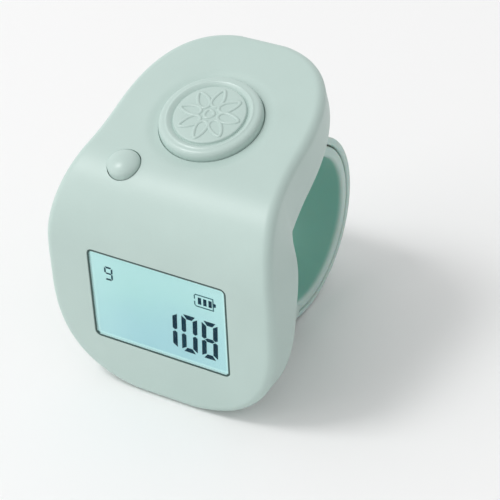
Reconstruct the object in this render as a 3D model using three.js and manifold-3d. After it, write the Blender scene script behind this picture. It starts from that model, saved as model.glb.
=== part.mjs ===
// A finger tally counter: a bent plastic head with a small display on its upright leg and two
// buttons on its sloping leg, worn on a finger by two overlapping soft straps.
//
// Millimetres, +Z up. The counter stands on its foot and on the bottom of the straps, display
// towards -Y. The origin is on that surface, in the middle of the overall width and depth.

import * as THREE from 'three';
import { mergeVertices } from 'three/addons/utils/BufferGeometryUtils.js';
import Module from 'manifold-3d';

const wasm = await Module();
wasm.setup();

// Head outline. It is drawn flat and then bent between the upright leg and the sloping leg.
const frontLength = 18.75;
const bendRadius = 9.9;
const bendDegrees = 72.3;
const topLength = 19.99;
const frontHalfWidth = 14.5;
const topHalfWidth = 11.95;
const taperStart = 16.4;
const taperEnd = 36.2;
const footCorner = 13.6;
const footPower = 2.6;
const tailCorner = 15.1;
const tailPower = 2.62;
const endFlat = 0.15;
const edgeRadius = 1.0;
const edgeSteps = 4;
const stationCount = 34;
const stationEasing = 0.72;

// Depth of the head's side wall, measured square to the outer face
const footDepth = 3.5;
const bendDepth = 6.8;
const tailDepth = 2.2;

// Walls and seams of the housing
const faceWall = 1.2;
const sideWall = 1.5;
const rebateWall = 0.95;
const seam = 0.1;
const coverWall = 0.9;
const coverChamfer = 0.15;
const cavityPast = 0.4;

// Display window and the stack behind it
const windowWidth = 17.7;
const windowHeight = 12.2;
const windowFoot = 6.65;
const windowCorner = 1.0;
const lensGap = 0.2;
const lensRecess = 0.15;
const lensThickness = 0.3;
const stackGap = 0.05;
const glassWidth = 18.2;
const glassHeight = 12.7;
const glassThickness = 0.8;
const glassRise = 0.75;
const backlightThickness = 1.2;
const backlightMargin = 0.3;
const stackCorner = 0.3;
const frameRim = 0.8;
const frameLip = 0.35;
const frameGap = 0.1;
const frameSetback = 0.4;
const frameLegs = 0.8;
const frameCorner = 0.6;
const frameHoleCorner = 0.2;
const boardThickness = 0.8;
const displayBoardWidth = 15.6;
const displayBoardHeight = 15.4;
const displayBoardFoot = 4.0;
const boardCorner = 0.6;
const stripMargin = 1.0;
const stripFoot = 0.6;
const stripHeight = 1.2;
const chipRadius = 2.1;
const chipTopRadius = 1.6;
const chipHeight = 0.7;
const chipAcross = -4.6;
const chipAboveFoot = 1.9;

// Count button and reset button, placed on the sloping leg from the end of the bend
const countAlong = 7.0;
const countRadius = 5.95;
const countRise = 1.1;
const countEdge = 0.85;
const countCrest = 4.95;
const countCrestDrop = 0.04;
const countDisc = 4.6;
const countDiscDrop = 0.42;
const countSlope = 0.22;
const countSlopeRise = 0.12;
const medallionRadius = 2.95;
const medallionEdge = 0.2;
const medallionRise = 0.16;
const medallionCrown = 0.2;
const countCollar = 1.1;
const countHub = 0.3;
const dishRadius = 7.25;
const dishDepth = 0.35;
const dishShoulderOut = 0.55;
const dishShoulderDown = 0.62;
const buttonGap = 0.15;
const flangeReach = 0.75;
const flangeThickness = 0.55;
const flangeGap = 0.15;
const postLength = 0.25;
const resetAcross = -6.22;
const resetAlong = -1.73;
const resetRadius = 1.9;
const resetRise = 0.85;
const resetReach = 0.45;
const capSteps = 6;

// Switches on their board
const keyBoardDepth = 4.7;
const countSwitchSize = 4.6;
const countPlungerRadius = 1.2;
const countTravel = 0.4;
const resetSwitchSize = 2.9;
const resetPlungerRadius = 0.7;
const resetTravel = 0.3;
const travelClearance = 0.1;
const switchFloor = 0.25;
const switchBoreClearance = 0.1;
const plungerFlare = 0.2;
const plungerSkirt = 0.15;
const keyBoardHalfWidth = 6.9;
const keyBoardWing = 8.4;
const keyBoardTail = 11.6;
const keyBoardFront = -3.4;
const keyBoardStep = 2.6;
const keyBoardRoom = 0.5;

// Cell and its contacts
const cellRadius = 5.8;
const cellThickness = 4.2;
const cellCapRadius = 4.3;
const cellCapHeight = 0.3;
const cellDrop = 0.5;
const cellChamfer = 0.3;
const cellSeal = 0.25;
const cellCapChamfer = 0.15;
const cellClearance = 0.2;
const contactThickness = 0.2;
const contactSpring = 0.9;
const contactWidth = 3.2;
const leafFoot = -3.2;
const leafBend = -1.6;
const leafTouch = 0.6;
const leafTip = 2.0;
const leafShift = 0.1;
const canSetback = 0.6;
const canTab = 1.2;
const filmAcross = 4.6;
const filmHalfWidth = 2.0;
const filmThickness = 0.15;
const filmLap = 1.6;
const filmLanding = 1.4;
const filmPad = 2.0;
const filmTurn = 1.0;
const filmSteps = 4;
const filmRoomBack = 8.0;
const filmRoomHead = 3.75;

// Finger hole, the two straps round it and their pins
const holeRadius = 9.1;
const innerStrap = 1.3;
const outerStrap = 0.9;
const outerStrapTip = 0.6;
const outerStrapTaper = 0.6;
const innerStrapCorner = 0.5;
const outerStrapCorner = 0.3;
const bandFlat = 0.02;
const strapGap = 0.2;
const strapHalfWidth = 7.0;
const holeBack = 22.5;
const cradleLip = 0.45;
const mouthUpperDegrees = 118;
const mouthLowerDegrees = 238;
const mouthReach = 4.3;
const innerLeaveDegrees = 246;
const innerEndDegrees = 458;
const outerLeaveDegrees = 112;
const outerEndDegrees = -110;
const strapSteps = 38;
const rootLength = 5.4;
const rootSteps = 4;
const slotLead = 1.2;
const beadRadius = 1.5;
const beadInset = 0.25;
const pinRadius = 0.5;
const pinClearance = 0.06;
const pinReach = 0.5;
const slotClearance = 0.25;
const studCount = 2;
const studPitchDegrees = 17;
const studRadius = 0.75;
const studHeadRadius = 1.15;
const studHeadHeight = 0.4;
const studRoot = 0.3;
const strapHoles = 5;
const strapHoleClearance = 0.2;

// Rear block of the cover, which fills the space between the head and the finger
const blockHalfWidth = 8.3;
const blockWall = 1.3;
const housingWall = 0.8;
const tipWall = 2.6;
const cupWall = 1.2;
const coverClearance = 0.25;
const padCorner = 1.6;
const blockFoot = 3.4;
const blockTail = 45.5;
const chinHeight = 1.7;
const chinReach = 2.5;
const shoulderBack = 1.2;
const shoulderRise = 4.2;
const keeperReach = 60;

// Screws that hold the cover
const screwRadius = 0.5;
const screwHeadRadius = 0.85;
const screwHeadHeight = 0.45;
const screwLength = 1.1;
const screwPoint = 0.4;
const screwLift = 0.02;
const screwHeadTop = 0.6;
const screwSlot = 0.2;
const bossRadius = 1.25;
const bossRoot = 0.3;
const pilotFloor = 0.2;
const footScrewInset = 2.9;
const footScrewAlong = 4.5;
const tailScrewInset = 2.2;
const tailScrewAlong = 41.5;

const bendAngle = THREE.MathUtils.degToRad(bendDegrees);
const bendLength = bendRadius * bendAngle;
const headLength = frontLength + bendLength + topLength;
const windowMiddle = windowFoot + windowHeight / 2;
const cellHeight = displayBoardFoot + displayBoardHeight / 2 - cellDrop;
const ringRadius = holeRadius + innerStrap + strapGap + outerStrap;
const holeHeight = ringRadius;
const cradleRadius = holeRadius - cradleLip;
const overallDepth = holeBack + ringRadius + strapGap + studHeadHeight;
const roundSteps = 40;
const cutPast = 1;

// Colours taken from the look of the object
const finishes = {
  shell: { color: 0xc0d3cd, roughness: 0.42, metalness: 0 },
  button: { color: 0xc2d5cf, roughness: 0.35, metalness: 0 },
  strap: { color: 0x9fc4b8, roughness: 0.6, metalness: 0 },
  lens: { color: 0xe4f2f2, roughness: 0.08, metalness: 0 },
  display: { color: 0xabdbe0, roughness: 0.2, metalness: 0 },
  white: { color: 0xf0f2ef, roughness: 0.5, metalness: 0 },
  black: { color: 0x1c1e20, roughness: 0.6, metalness: 0 },
  board: { color: 0x1f6b45, roughness: 0.5, metalness: 0 },
  film: { color: 0xc98a2d, roughness: 0.4, metalness: 0 },
  steel: { color: 0xc3c6c8, roughness: 0.3, metalness: 1 },
  spring: { color: 0xd6b46a, roughness: 0.35, metalness: 1 },
};

const counter = new THREE.Group();

function addPiece(name, finish, geometry, parent = counter) {
  const mesh = new THREE.Mesh(geometry, new THREE.MeshStandardMaterial(finishes[finish]));
  mesh.name = name;
  parent.add(mesh);
  return mesh;
}

// Solid helpers

function toSolid(geometry) {
  const bare = geometry.clone();
  bare.deleteAttribute('normal');
  bare.deleteAttribute('uv');
  const merged = mergeVertices(bare, 1e-4);
  return new wasm.Manifold(new wasm.Mesh({
    numProp: 3,
    vertProperties: new Float32Array(merged.attributes.position.array),
    triVerts: new Uint32Array(merged.index.array),
  }));
}

function toGeometry(solid) {
  const mesh = solid.getMesh();
  const geometry = new THREE.BufferGeometry();
  geometry.setAttribute('position', new THREE.BufferAttribute(mesh.vertProperties, 3));
  geometry.setIndex(new THREE.BufferAttribute(mesh.triVerts, 1));
  geometry.computeVertexNormals();
  return geometry;
}

function join(first, ...others) {
  return toGeometry(others.reduce((solid, tool) => solid.add(toSolid(tool)), toSolid(first)));
}

function cut(first, ...tools) {
  return toGeometry(tools.reduce((solid, tool) => solid.subtract(toSolid(tool)), toSolid(first)));
}

function common(first, ...others) {
  return toGeometry(others.reduce((solid, tool) => solid.intersect(toSolid(tool)), toSolid(first)));
}

function placed(geometry, matrix) {
  return geometry.applyMatrix4(matrix);
}

function box(x0, x1, y0, y1, z0, z1) {
  const geometry = new THREE.BoxGeometry(x1 - x0, y1 - y0, z1 - z0);
  return geometry.translate((x0 + x1) / 2, (y0 + y1) / 2, (z0 + z1) / 2);
}

function rod(radius, z0, z1, sides = 24) {
  const geometry = new THREE.CylinderGeometry(radius, radius, z1 - z0, sides);
  return geometry.rotateX(Math.PI / 2).translate(0, 0, (z0 + z1) / 2);
}

// Revolved body from (radius, height) pairs, bottom to top
function turned(profile, sides = roundSteps) {
  const points = profile.map(([radius, height]) => new THREE.Vector2(radius, height));
  return new THREE.LatheGeometry(points, sides).rotateX(Math.PI / 2);
}

function roundedOutline(width, height, corner, centreY = 0) {
  const x = width / 2 - corner;
  const y = height / 2 - corner;
  const shape = new THREE.Shape();
  shape.absarc(x, centreY - y, corner, -Math.PI / 2, 0);
  shape.absarc(x, centreY + y, corner, 0, Math.PI / 2);
  shape.absarc(-x, centreY + y, corner, Math.PI / 2, Math.PI);
  shape.absarc(-x, centreY - y, corner, Math.PI, 1.5 * Math.PI);
  shape.closePath();
  return shape;
}

// Upright plate behind the display face: its outline is seen from the front and it runs
// from depth y0 to depth y1.
function uprightPlate(shape, y0, y1, curveSegments = 5) {
  const settings = { depth: y1 - y0, bevelEnabled: false, curveSegments };
  return new THREE.ExtrudeGeometry(shape, settings).rotateX(Math.PI / 2).translate(0, y1, 0);
}

// Body whose section in the YZ plane runs along X
function crossExtrusion(points, reach) {
  const shape = new THREE.Shape(points.map(([y, z]) => new THREE.Vector2(y, z)));
  const settings = { depth: 2 * reach, bevelEnabled: false };
  const matrix = new THREE.Matrix4().makeBasis(
    new THREE.Vector3(0, 1, 0), new THREE.Vector3(0, 0, 1), new THREE.Vector3(1, 0, 0));
  return placed(new THREE.ExtrudeGeometry(shape, settings), matrix).translate(-reach, 0, 0);
}

// Closed body through rings that all have the same number of points. Each end is filled by
// strips between matching points of the ring's two halves.
function loft(rings) {
  const count = rings[0].length;
  const positions = rings.flat().flatMap((point) => point.toArray());
  const faces = [];
  for (let layer = 0; layer < rings.length - 1; layer += 1) {
    for (let i = 0; i < count; i += 1) {
      const next = (i + 1) % count;
      const a = layer * count + i;
      const b = layer * count + next;
      faces.push(a, a + count, b, b, a + count, b + count);
    }
  }
  const last = (rings.length - 1) * count;
  for (let i = 0; i < count / 2 - 1; i += 1) {
    const j = count - 1 - i;
    faces.push(i, i + 1, j, i + 1, j - 1, j);
    faces.push(last + i, last + j, last + i + 1, last + i + 1, last + j, last + j - 1);
  }
  const geometry = new THREE.BufferGeometry();
  geometry.setAttribute('position', new THREE.Float32BufferAttribute(positions, 3));
  geometry.setIndex(faces);
  geometry.computeVertexNormals();
  return geometry;
}

// The bent head

function cornerFade(distance, corner, power) {
  if (distance >= corner) return 1;
  const left = 1 - (distance + endFlat) / (corner + endFlat);
  return (1 - left ** power) ** (1 / power);
}

function halfWidth(s) {
  const taper = THREE.MathUtils.smoothstep(s, taperStart, taperEnd);
  const width = THREE.MathUtils.lerp(frontHalfWidth, topHalfWidth, taper);
  return width * cornerFade(s, footCorner, footPower) * cornerFade(headLength - s, tailCorner, tailPower);
}

function wallDepth(s) {
  const middle = headLength / 2;
  if (s < middle) {
    return THREE.MathUtils.lerp(footDepth, bendDepth, THREE.MathUtils.smoothstep(s, 0, middle));
  }
  return bendDepth - (bendDepth - tailDepth) * ((s - middle) / (headLength - middle)) ** 2;
}

// Point of the outer face at a distance s up from the foot, and how far the face has turned there
function faceAt(s) {
  const turn = THREE.MathUtils.clamp((s - frontLength) / bendRadius, 0, bendAngle);
  const straight = s < frontLength ? s : frontLength;
  const beyond = Math.max(s - frontLength - bendLength, 0);
  return {
    turn,
    y: bendRadius * (1 - Math.cos(turn)) + beyond * Math.sin(turn),
    z: straight + bendRadius * Math.sin(turn) + beyond * Math.cos(turn),
  };
}

function bent(x, s, depth) {
  const { turn, y, z } = faceAt(s);
  return new THREE.Vector3(x, y + depth * Math.cos(turn), z - depth * Math.sin(turn));
}

// Places a body that is drawn with its Z axis pointing into the head, at a point of the face
function frameInto(x, s) {
  const { turn } = faceAt(s);
  const inward = new THREE.Vector3(0, Math.cos(turn), -Math.sin(turn));
  const across = new THREE.Vector3(1, 0, 0);
  const along = new THREE.Vector3().crossVectors(inward, across);
  return new THREE.Matrix4().makeBasis(across, along, inward).setPosition(bent(x, s, 0));
}

function stations() {
  const list = [];
  for (let i = 0; i < stationCount; i += 1) {
    const even = i / (stationCount - 1);
    const eased = (1 - Math.cos(Math.PI * even)) / 2;
    list.push(headLength * THREE.MathUtils.lerp(even, eased, stationEasing));
  }
  return list;
}

// Flat outline drawn in by a distance, one side, as pairs of half width and station
function insetSide(inset) {
  const step = 1e-3;
  return stations().map((s) => {
    const low = Math.max(s - step, 0);
    const high = Math.min(s + step, headLength);
    const slope = (halfWidth(high) - halfWidth(low)) / (high - low);
    const size = Math.hypot(1, slope);
    return [halfWidth(s) - inset / size, s + (inset * slope) / size];
  });
}

// Closed body between layers, each a drawn-in outline bent at its own depth
function bentBody(layers) {
  return loft(layers.map(({ inset, depth }) => {
    const side = insetSide(inset);
    const right = side.map(([x, s]) => bent(x, s, depth(s)));
    const left = side.map(([x, s]) => bent(-x, s, depth(s)));
    return [...right, ...left.reverse()];
  }));
}

function roundedEdgeLayers(radius) {
  const layers = [];
  for (let i = 0; i <= edgeSteps; i += 1) {
    const angle = (Math.PI / 2) * (i / edgeSteps);
    layers.push({ inset: radius * (1 - Math.sin(angle)), depth: () => radius * (1 - Math.cos(angle)) });
  }
  return layers;
}

// Frame of the sloping leg: origin at the end of the bend, Y along the leg, Z out of its face
const bendEnd = faceAt(frontLength + bendLength);
const topTilt = Math.PI / 2 - bendAngle;
const topMatrix = new THREE.Matrix4().makeRotationX(topTilt).setPosition(0, bendEnd.y, bendEnd.z);
const topLeg = new THREE.Group();
topLeg.position.set(0, bendEnd.y, bendEnd.z);
topLeg.rotation.x = topTilt;
counter.add(topLeg);

const footScrewAcross = halfWidth(footScrewAlong) - footScrewInset;
const tailScrewAcross = halfWidth(tailScrewAlong) - tailScrewInset;
const screwPlaces = [
  [-footScrewAcross, footScrewAlong],
  [footScrewAcross, footScrewAlong],
  [-tailScrewAcross, tailScrewAlong],
  [tailScrewAcross, tailScrewAlong],
];

function onTop(geometry) {
  return placed(geometry, topMatrix);
}

// Where the cover rests inside the shell's rebate
function ledge(s) {
  return wallDepth(s) - coverWall - 2 * seam;
}

// Shallow dish in the sloping face round the count button
function dishTool() {
  const inner = countRadius + buttonGap;
  return turned([
    [0, -dishDepth],
    [inner, -dishDepth],
    [THREE.MathUtils.lerp(inner, dishRadius, dishShoulderOut), -dishDepth * dishShoulderDown],
    [dishRadius, seam / 4],
    [dishRadius, cutPast],
    [0, cutPast],
  ]).translate(0, countAlong, 0);
}

// Front shell: rounded bent face, side walls with a rebate for the cover, window, dish, button
// holes and screw bosses
function frontShell() {
  const outer = bentBody([...roundedEdgeLayers(edgeRadius), { inset: 0, depth: wallDepth }]);
  const cavity = bentBody([
    { inset: sideWall, depth: () => faceWall },
    { inset: sideWall, depth: ledge },
    { inset: rebateWall, depth: ledge },
    { inset: rebateWall, depth: (s) => wallDepth(s) + cavityPast },
  ]);
  const windowShape = roundedOutline(windowWidth, windowHeight, windowCorner, windowMiddle);
  const opening = uprightPlate(windowShape, -cutPast, faceWall + cutPast);
  const below = -faceWall - cutPast;
  const countHole = rod(countRadius + buttonGap, below, cutPast, roundSteps).translate(0, countAlong, 0);
  const resetHole = rod(resetRadius + buttonGap, below, cutPast).translate(resetAcross, resetAlong, 0);
  const resetFlange = resetRadius + resetReach + buttonGap;
  const spotFace = rod(resetFlange, -bendDepth, -faceWall).translate(resetAcross, resetAlong, 0);
  const bosses = screwPlaces.map(([x, s]) => {
    const top = Math.min(ledge(s - bossRadius), ledge(s + bossRadius)) - seam;
    return placed(rod(bossRadius, faceWall - bossRoot, top, 16), frameInto(x, s));
  });
  const pilots = screwPlaces.map(([x, s]) => placed(
    rod(screwRadius + seam, faceWall + pilotFloor, wallDepth(s), 12), frameInto(x, s)));
  const walls = join(cut(outer, cavity), ...bosses);
  return cut(walls, ...pilots, opening, ...[dishTool(), countHole, resetHole, spotFace].map(onTop));
}

// Depth of each layer of the display stack
const lensBack = lensRecess + lensThickness;
const glassFront = lensBack + stackGap + glassRise;
const glassBack = glassFront + glassThickness;
const backlightFront = glassBack + stackGap;
const backlightBack = backlightFront + backlightThickness;
const displayBoardFront = backlightBack + stackGap + frameLegs;
const displayBoardBack = displayBoardFront + boardThickness;

// Outline of what stands inside the window, the pane and the front glass
function insideWindow() {
  return roundedOutline(
    windowWidth - 2 * lensGap, windowHeight - 2 * lensGap, windowCorner - lensGap, windowMiddle);
}

// Display glass: a front plate in the window, bonded to a larger rear plate behind the wall
function displayGlass() {
  const rear = roundedOutline(glassWidth, glassHeight, stackCorner, windowMiddle);
  const front = uprightPlate(insideWindow(), lensBack + stackGap, glassFront + seam);
  return join(front, uprightPlate(rear, glassFront, glassBack, 2));
}

function displayFrame() {
  const width = glassWidth + 2 * frameGap;
  const height = glassHeight + 2 * frameGap;
  const outer = roundedOutline(width + 2 * frameRim, height + 2 * frameLip, frameCorner, windowMiddle);
  const hole = roundedOutline(width, height, frameHoleCorner, windowMiddle);
  const plate = uprightPlate(outer, glassFront + frameSetback, backlightBack, 3);
  return cut(plate, uprightPlate(hole, glassFront - cutPast, backlightBack + cutPast, 3));
}

function addDisplay() {
  addPiece('window_lens', 'lens', uprightPlate(insideWindow(), lensRecess, lensBack));
  addPiece('display_glass', 'display', displayGlass());
  const light = roundedOutline(
    glassWidth - 2 * backlightMargin, glassHeight - 2 * backlightMargin, stackCorner, windowMiddle);
  addPiece('backlight_plate', 'white', uprightPlate(light, backlightFront, backlightBack, 2));
  addPiece('display_frame', 'black', displayFrame());
  const board = roundedOutline(
    displayBoardWidth, displayBoardHeight, boardCorner, displayBoardFoot + displayBoardHeight / 2);
  addPiece('display_board', 'board', uprightPlate(board, displayBoardFront, displayBoardBack, 3));
  const stripHalf = displayBoardWidth / 2 - stripMargin;
  const stripBase = windowMiddle - glassHeight / 2 + stripFoot;
  const strip = box(
    -stripHalf, stripHalf,
    backlightBack + stackGap, displayBoardFront - stackGap,
    stripBase, stripBase + stripHeight);
  addPiece('contact_strip', 'black', strip);
}

// Buttons, switches and their board, all in the frame of the sloping leg
const flangeTop = -faceWall - flangeGap;
const postEnd = flangeTop - flangeThickness - postLength;
const switchBase = -keyBoardDepth + boardThickness + stackGap;

function countCap() {
  const disc = countRise - countDiscDrop;
  const hub = countPlungerRadius + countHub;
  const profile = [
    [0, postEnd],
    [hub, postEnd],
    [hub, flangeTop],
    [countRadius - countCollar, flangeTop],
    [countRadius - countCollar, flangeTop - flangeThickness],
    [countRadius + flangeReach, flangeTop - flangeThickness],
    [countRadius + flangeReach, flangeTop],
    [countRadius, flangeTop],
  ];
  for (let i = 0; i <= capSteps; i += 1) {
    const angle = (Math.PI / 2) * (i / capSteps);
    profile.push([
      countRadius - countEdge * (1 - Math.cos(angle)),
      countRise - countEdge * (1 - Math.sin(angle)),
    ]);
  }
  profile.push([countCrest, countRise - countCrestDrop]);
  profile.push([countDisc + countSlope, disc + countSlopeRise]);
  profile.push([countDisc, disc]);
  profile.push([medallionRadius, disc]);
  profile.push([medallionRadius - medallionEdge, disc + medallionRise]);
  profile.push([0, disc + medallionCrown]);
  return turned(profile);
}

function resetCap() {
  const profile = [
    [0, postEnd],
    [resetRadius + resetReach, postEnd],
    [resetRadius + resetReach, flangeTop],
    [resetRadius, flangeTop],
    [resetRadius, 0],
  ];
  for (let i = 1; i < capSteps; i += 1) {
    const angle = (Math.PI / 2) * (i / capSteps);
    profile.push([resetRadius * Math.cos(angle), resetRise * Math.sin(angle)]);
  }
  profile.push([0, resetRise]);
  return turned(profile, 32);
}

// A switch body ends far enough below its button for the button's whole travel
function switchBody(size, travel, bore) {
  const half = size / 2;
  const top = postEnd - travel - travelClearance;
  const body = box(-half, half, -half, half, switchBase, top);
  return cut(body, rod(bore + switchBoreClearance, switchBase + switchFloor, top + cutPast, 20));
}

// A plunger stands in its switch body, above the floor by more than its travel
function switchPlunger(radius, travel, bore) {
  const foot = switchBase + switchFloor + travel + travelClearance;
  const top = postEnd - stackGap;
  return turned([
    [0, foot],
    [bore, foot],
    [bore, foot + plungerSkirt],
    [radius, foot + plungerSkirt + stackGap],
    [radius, top],
    [0, top],
  ], 20);
}

function keyBoard() {
  const shape = new THREE.Shape();
  shape.moveTo(-keyBoardWing, keyBoardFront);
  shape.lineTo(keyBoardWing, keyBoardFront);
  shape.lineTo(keyBoardWing, keyBoardStep);
  shape.lineTo(keyBoardHalfWidth, keyBoardStep);
  shape.lineTo(keyBoardHalfWidth, keyBoardTail);
  shape.lineTo(-keyBoardHalfWidth, keyBoardTail);
  shape.lineTo(-keyBoardHalfWidth, keyBoardStep);
  shape.lineTo(-keyBoardWing, keyBoardStep);
  shape.closePath();
  const settings = { depth: boardThickness, bevelEnabled: false };
  return new THREE.ExtrudeGeometry(shape, settings).translate(0, 0, -keyBoardDepth);
}

// One key: button, switch body and plunger, on one axis of the sloping leg
function addKey(name, cap, size, radius, travel, place) {
  const bore = radius + plungerFlare;
  const pieces = [
    addPiece(`${name}_button`, 'button', cap, topLeg),
    addPiece(`${name}_switch`, 'black', switchBody(size, travel, bore), topLeg),
    addPiece(`${name}_plunger`, 'white', switchPlunger(radius, travel, bore), topLeg),
  ];
  pieces.forEach((piece) => piece.position.copy(place));
}

function addKeys() {
  const countPlace = new THREE.Vector3(0, countAlong, 0);
  const resetPlace = new THREE.Vector3(resetAcross, resetAlong, 0);
  addKey('count', countCap(), countSwitchSize, countPlungerRadius, countTravel, countPlace);
  addKey('reset', resetCap(), resetSwitchSize, resetPlungerRadius, resetTravel, resetPlace);
  addPiece('key_board', 'board', keyBoard(), topLeg);
}

// Electronics behind the display board: chip, cell, contacts and the film that joins the boards
const cellFront = displayBoardBack + contactSpring + cellCapHeight;
const cellBack = cellFront + cellThickness - cellCapHeight;

// The film runs up the display board and turns under the key board
function ribbonFilm() {
  const behind = displayBoardBack + stackGap;
  const under = -keyBoardDepth - stackGap - filmThickness;
  const landing = (along) => {
    const point = new THREE.Vector3(0, along, under).applyMatrix4(topMatrix);
    return new THREE.Vector2(point.y, point.z);
  };
  const first = landing(keyBoardFront + filmLanding);
  const turnStart = new THREE.Vector2(behind, first.y - filmTurn);
  const corner = new THREE.Vector2(behind, first.y - filmThickness);
  const route = [
    new THREE.Vector2(behind, displayBoardFoot + displayBoardHeight - filmLap),
    ...new THREE.QuadraticBezierCurve(turnStart, corner, first).getPoints(filmSteps),
    landing(keyBoardFront + filmLanding + filmPad),
  ];
  const back = route.map((point, i) => {
    const before = route[Math.max(i - 1, 0)];
    const after = route[Math.min(i + 1, route.length - 1)];
    const along = after.clone().sub(before).normalize();
    return new THREE.Vector2(along.y, -along.x).multiplyScalar(filmThickness).add(point);
  });
  const section = [...route, ...back.reverse()].map((point) => point.toArray());
  return crossExtrusion(section, filmHalfWidth).translate(filmAcross, 0, 0);
}

function cellBody() {
  return turned([
    [0, -cellThickness],
    [cellRadius - cellChamfer, -cellThickness],
    [cellRadius, -cellThickness + cellChamfer],
    [cellRadius, -cellCapHeight - cellSeal],
    [cellRadius - cellSeal, -cellCapHeight],
    [cellCapRadius, -cellCapHeight],
    [cellCapRadius - cellCapChamfer, 0],
    [0, 0],
  ]).rotateX(Math.PI / 2);
}

// Sprung leaf from the display board to the cell's cap
function capContact() {
  const front = displayBoardBack + stackGap;
  const back = cellFront - cellCapHeight - stackGap;
  return crossExtrusion([
    [front, cellHeight + leafFoot],
    [front + contactThickness, cellHeight + leafFoot],
    [front + contactThickness, cellHeight + leafBend],
    [back, cellHeight + leafTouch],
    [back, cellHeight + leafTip],
    [back - contactThickness, cellHeight + leafTip],
    [back - contactThickness, cellHeight + leafTouch + leafShift],
    [front, cellHeight + leafBend + leafShift],
  ], contactWidth / 2);
}

// Bent strip from the display board over the side of the cell's can
function canContact() {
  const front = displayBoardBack + stackGap;
  const back = cellBack - canSetback;
  const foot = cellHeight + cellRadius + stackGap;
  return crossExtrusion([
    [front, foot],
    [back, foot],
    [back, foot + contactThickness],
    [front + contactThickness, foot + contactThickness],
    [front + contactThickness, foot + canTab],
    [front, foot + canTab],
  ], contactWidth / 2);
}

function addElectronics() {
  const chip = addPiece(
    'controller_chip', 'black', new THREE.CylinderGeometry(chipTopRadius, chipRadius, chipHeight, 20));
  const chipDepth = displayBoardBack + stackGap + chipHeight / 2;
  chip.position.set(chipAcross, chipDepth, displayBoardFoot + chipAboveFoot);
  const cell = addPiece('button_cell', 'steel', cellBody());
  cell.position.set(0, cellFront - cellCapHeight, cellHeight);
  addPiece('cap_contact', 'spring', capContact());
  addPiece('can_contact', 'spring', canContact());
  addPiece('board_film', 'film', ribbonFilm());
}

// The rear block and the cover

function ringPoint(degrees, radius) {
  const angle = THREE.MathUtils.degToRad(degrees);
  return new THREE.Vector2(holeBack + radius * Math.cos(angle), holeHeight + radius * Math.sin(angle));
}

function sampled(from, to, steps, make) {
  return Array.from({ length: steps + 1 }, (_, i) => make(THREE.MathUtils.lerp(from, to, i / steps)));
}

// Rear outline of the block in the YZ plane, from the foot round the finger to the tail
function blockRear() {
  const plate = (s) => {
    const point = bent(0, s, wallDepth(s));
    return new THREE.Vector2(point.y, point.z);
  };
  const lowerMouth = ringPoint(mouthLowerDegrees, cradleRadius + mouthReach);
  const upperMouth = ringPoint(mouthUpperDegrees, cradleRadius + mouthReach);
  const chin = new THREE.QuadraticBezierCurve(
    plate(blockFoot), new THREE.Vector2(plate(blockFoot).x + chinReach, chinHeight),
    new THREE.Vector2(lowerMouth.x, Math.max(lowerMouth.y, chinHeight)));
  const shoulder = new THREE.QuadraticBezierCurve(
    upperMouth, upperMouth.clone().add(new THREE.Vector2(shoulderBack, shoulderRise)), plate(blockTail));
  return [
    ...chin.getPoints(7),
    ...sampled(mouthLowerDegrees, mouthUpperDegrees, 16, (angle) => ringPoint(angle, cradleRadius)),
    ...shoulder.getPoints(7),
  ];
}

// Block with straight sides, from inside the cover plate to the finger
function rearBlock() {
  const rear = blockRear();
  const places = sampled(blockTail, blockFoot, 24, (s) => bent(0, s, wallDepth(s) - coverWall / 2));
  const outline = [...rear.map((point) => [point.x, point.y]), ...places.map((point) => [point.y, point.z])];
  return crossExtrusion(outline, blockHalfWidth);
}

// Pad on the cover, parallel to the display, that makes room for the display frame
function displayPad() {
  const width = glassWidth + 2 * (frameGap + frameRim + coverClearance + coverWall);
  const height = glassHeight + 2 * (frameGap + frameLip + coverClearance + coverWall);
  const shape = roundedOutline(width, height, padCorner, windowMiddle);
  return uprightPlate(shape, backlightBack, backlightBack + coverClearance + coverWall);
}

// Straight-sided body inside the drawn-in outline, for keeping the block off the side walls
function outlineKeepers(inset) {
  const side = insetSide(inset);
  const footSide = side.filter(([, s]) => s < frontLength);
  const footShape = new THREE.Shape([
    ...footSide.map(([x, s]) => new THREE.Vector2(x, s)),
    new THREE.Vector2(frontHalfWidth, keeperReach),
    new THREE.Vector2(-frontHalfWidth, keeperReach),
    ...footSide.map(([x, s]) => new THREE.Vector2(-x, s)).reverse(),
  ]);
  const foot = uprightPlate(footShape, -keeperReach, keeperReach);
  const start = frontLength + bendLength;
  const tailSide = side.filter(([, s]) => s > start);
  const tailShape = new THREE.Shape([
    new THREE.Vector2(-frontHalfWidth, -keeperReach),
    new THREE.Vector2(frontHalfWidth, -keeperReach),
    ...tailSide.map(([x, s]) => new THREE.Vector2(x, s - start)),
    ...tailSide.map(([x, s]) => new THREE.Vector2(-x, s - start)).reverse(),
  ]);
  const settings = { depth: 2 * keeperReach, bevelEnabled: false };
  const tail = new THREE.ExtrudeGeometry(tailShape, settings).translate(0, 0, -keeperReach);
  return [foot, onTop(tail)];
}

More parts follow.
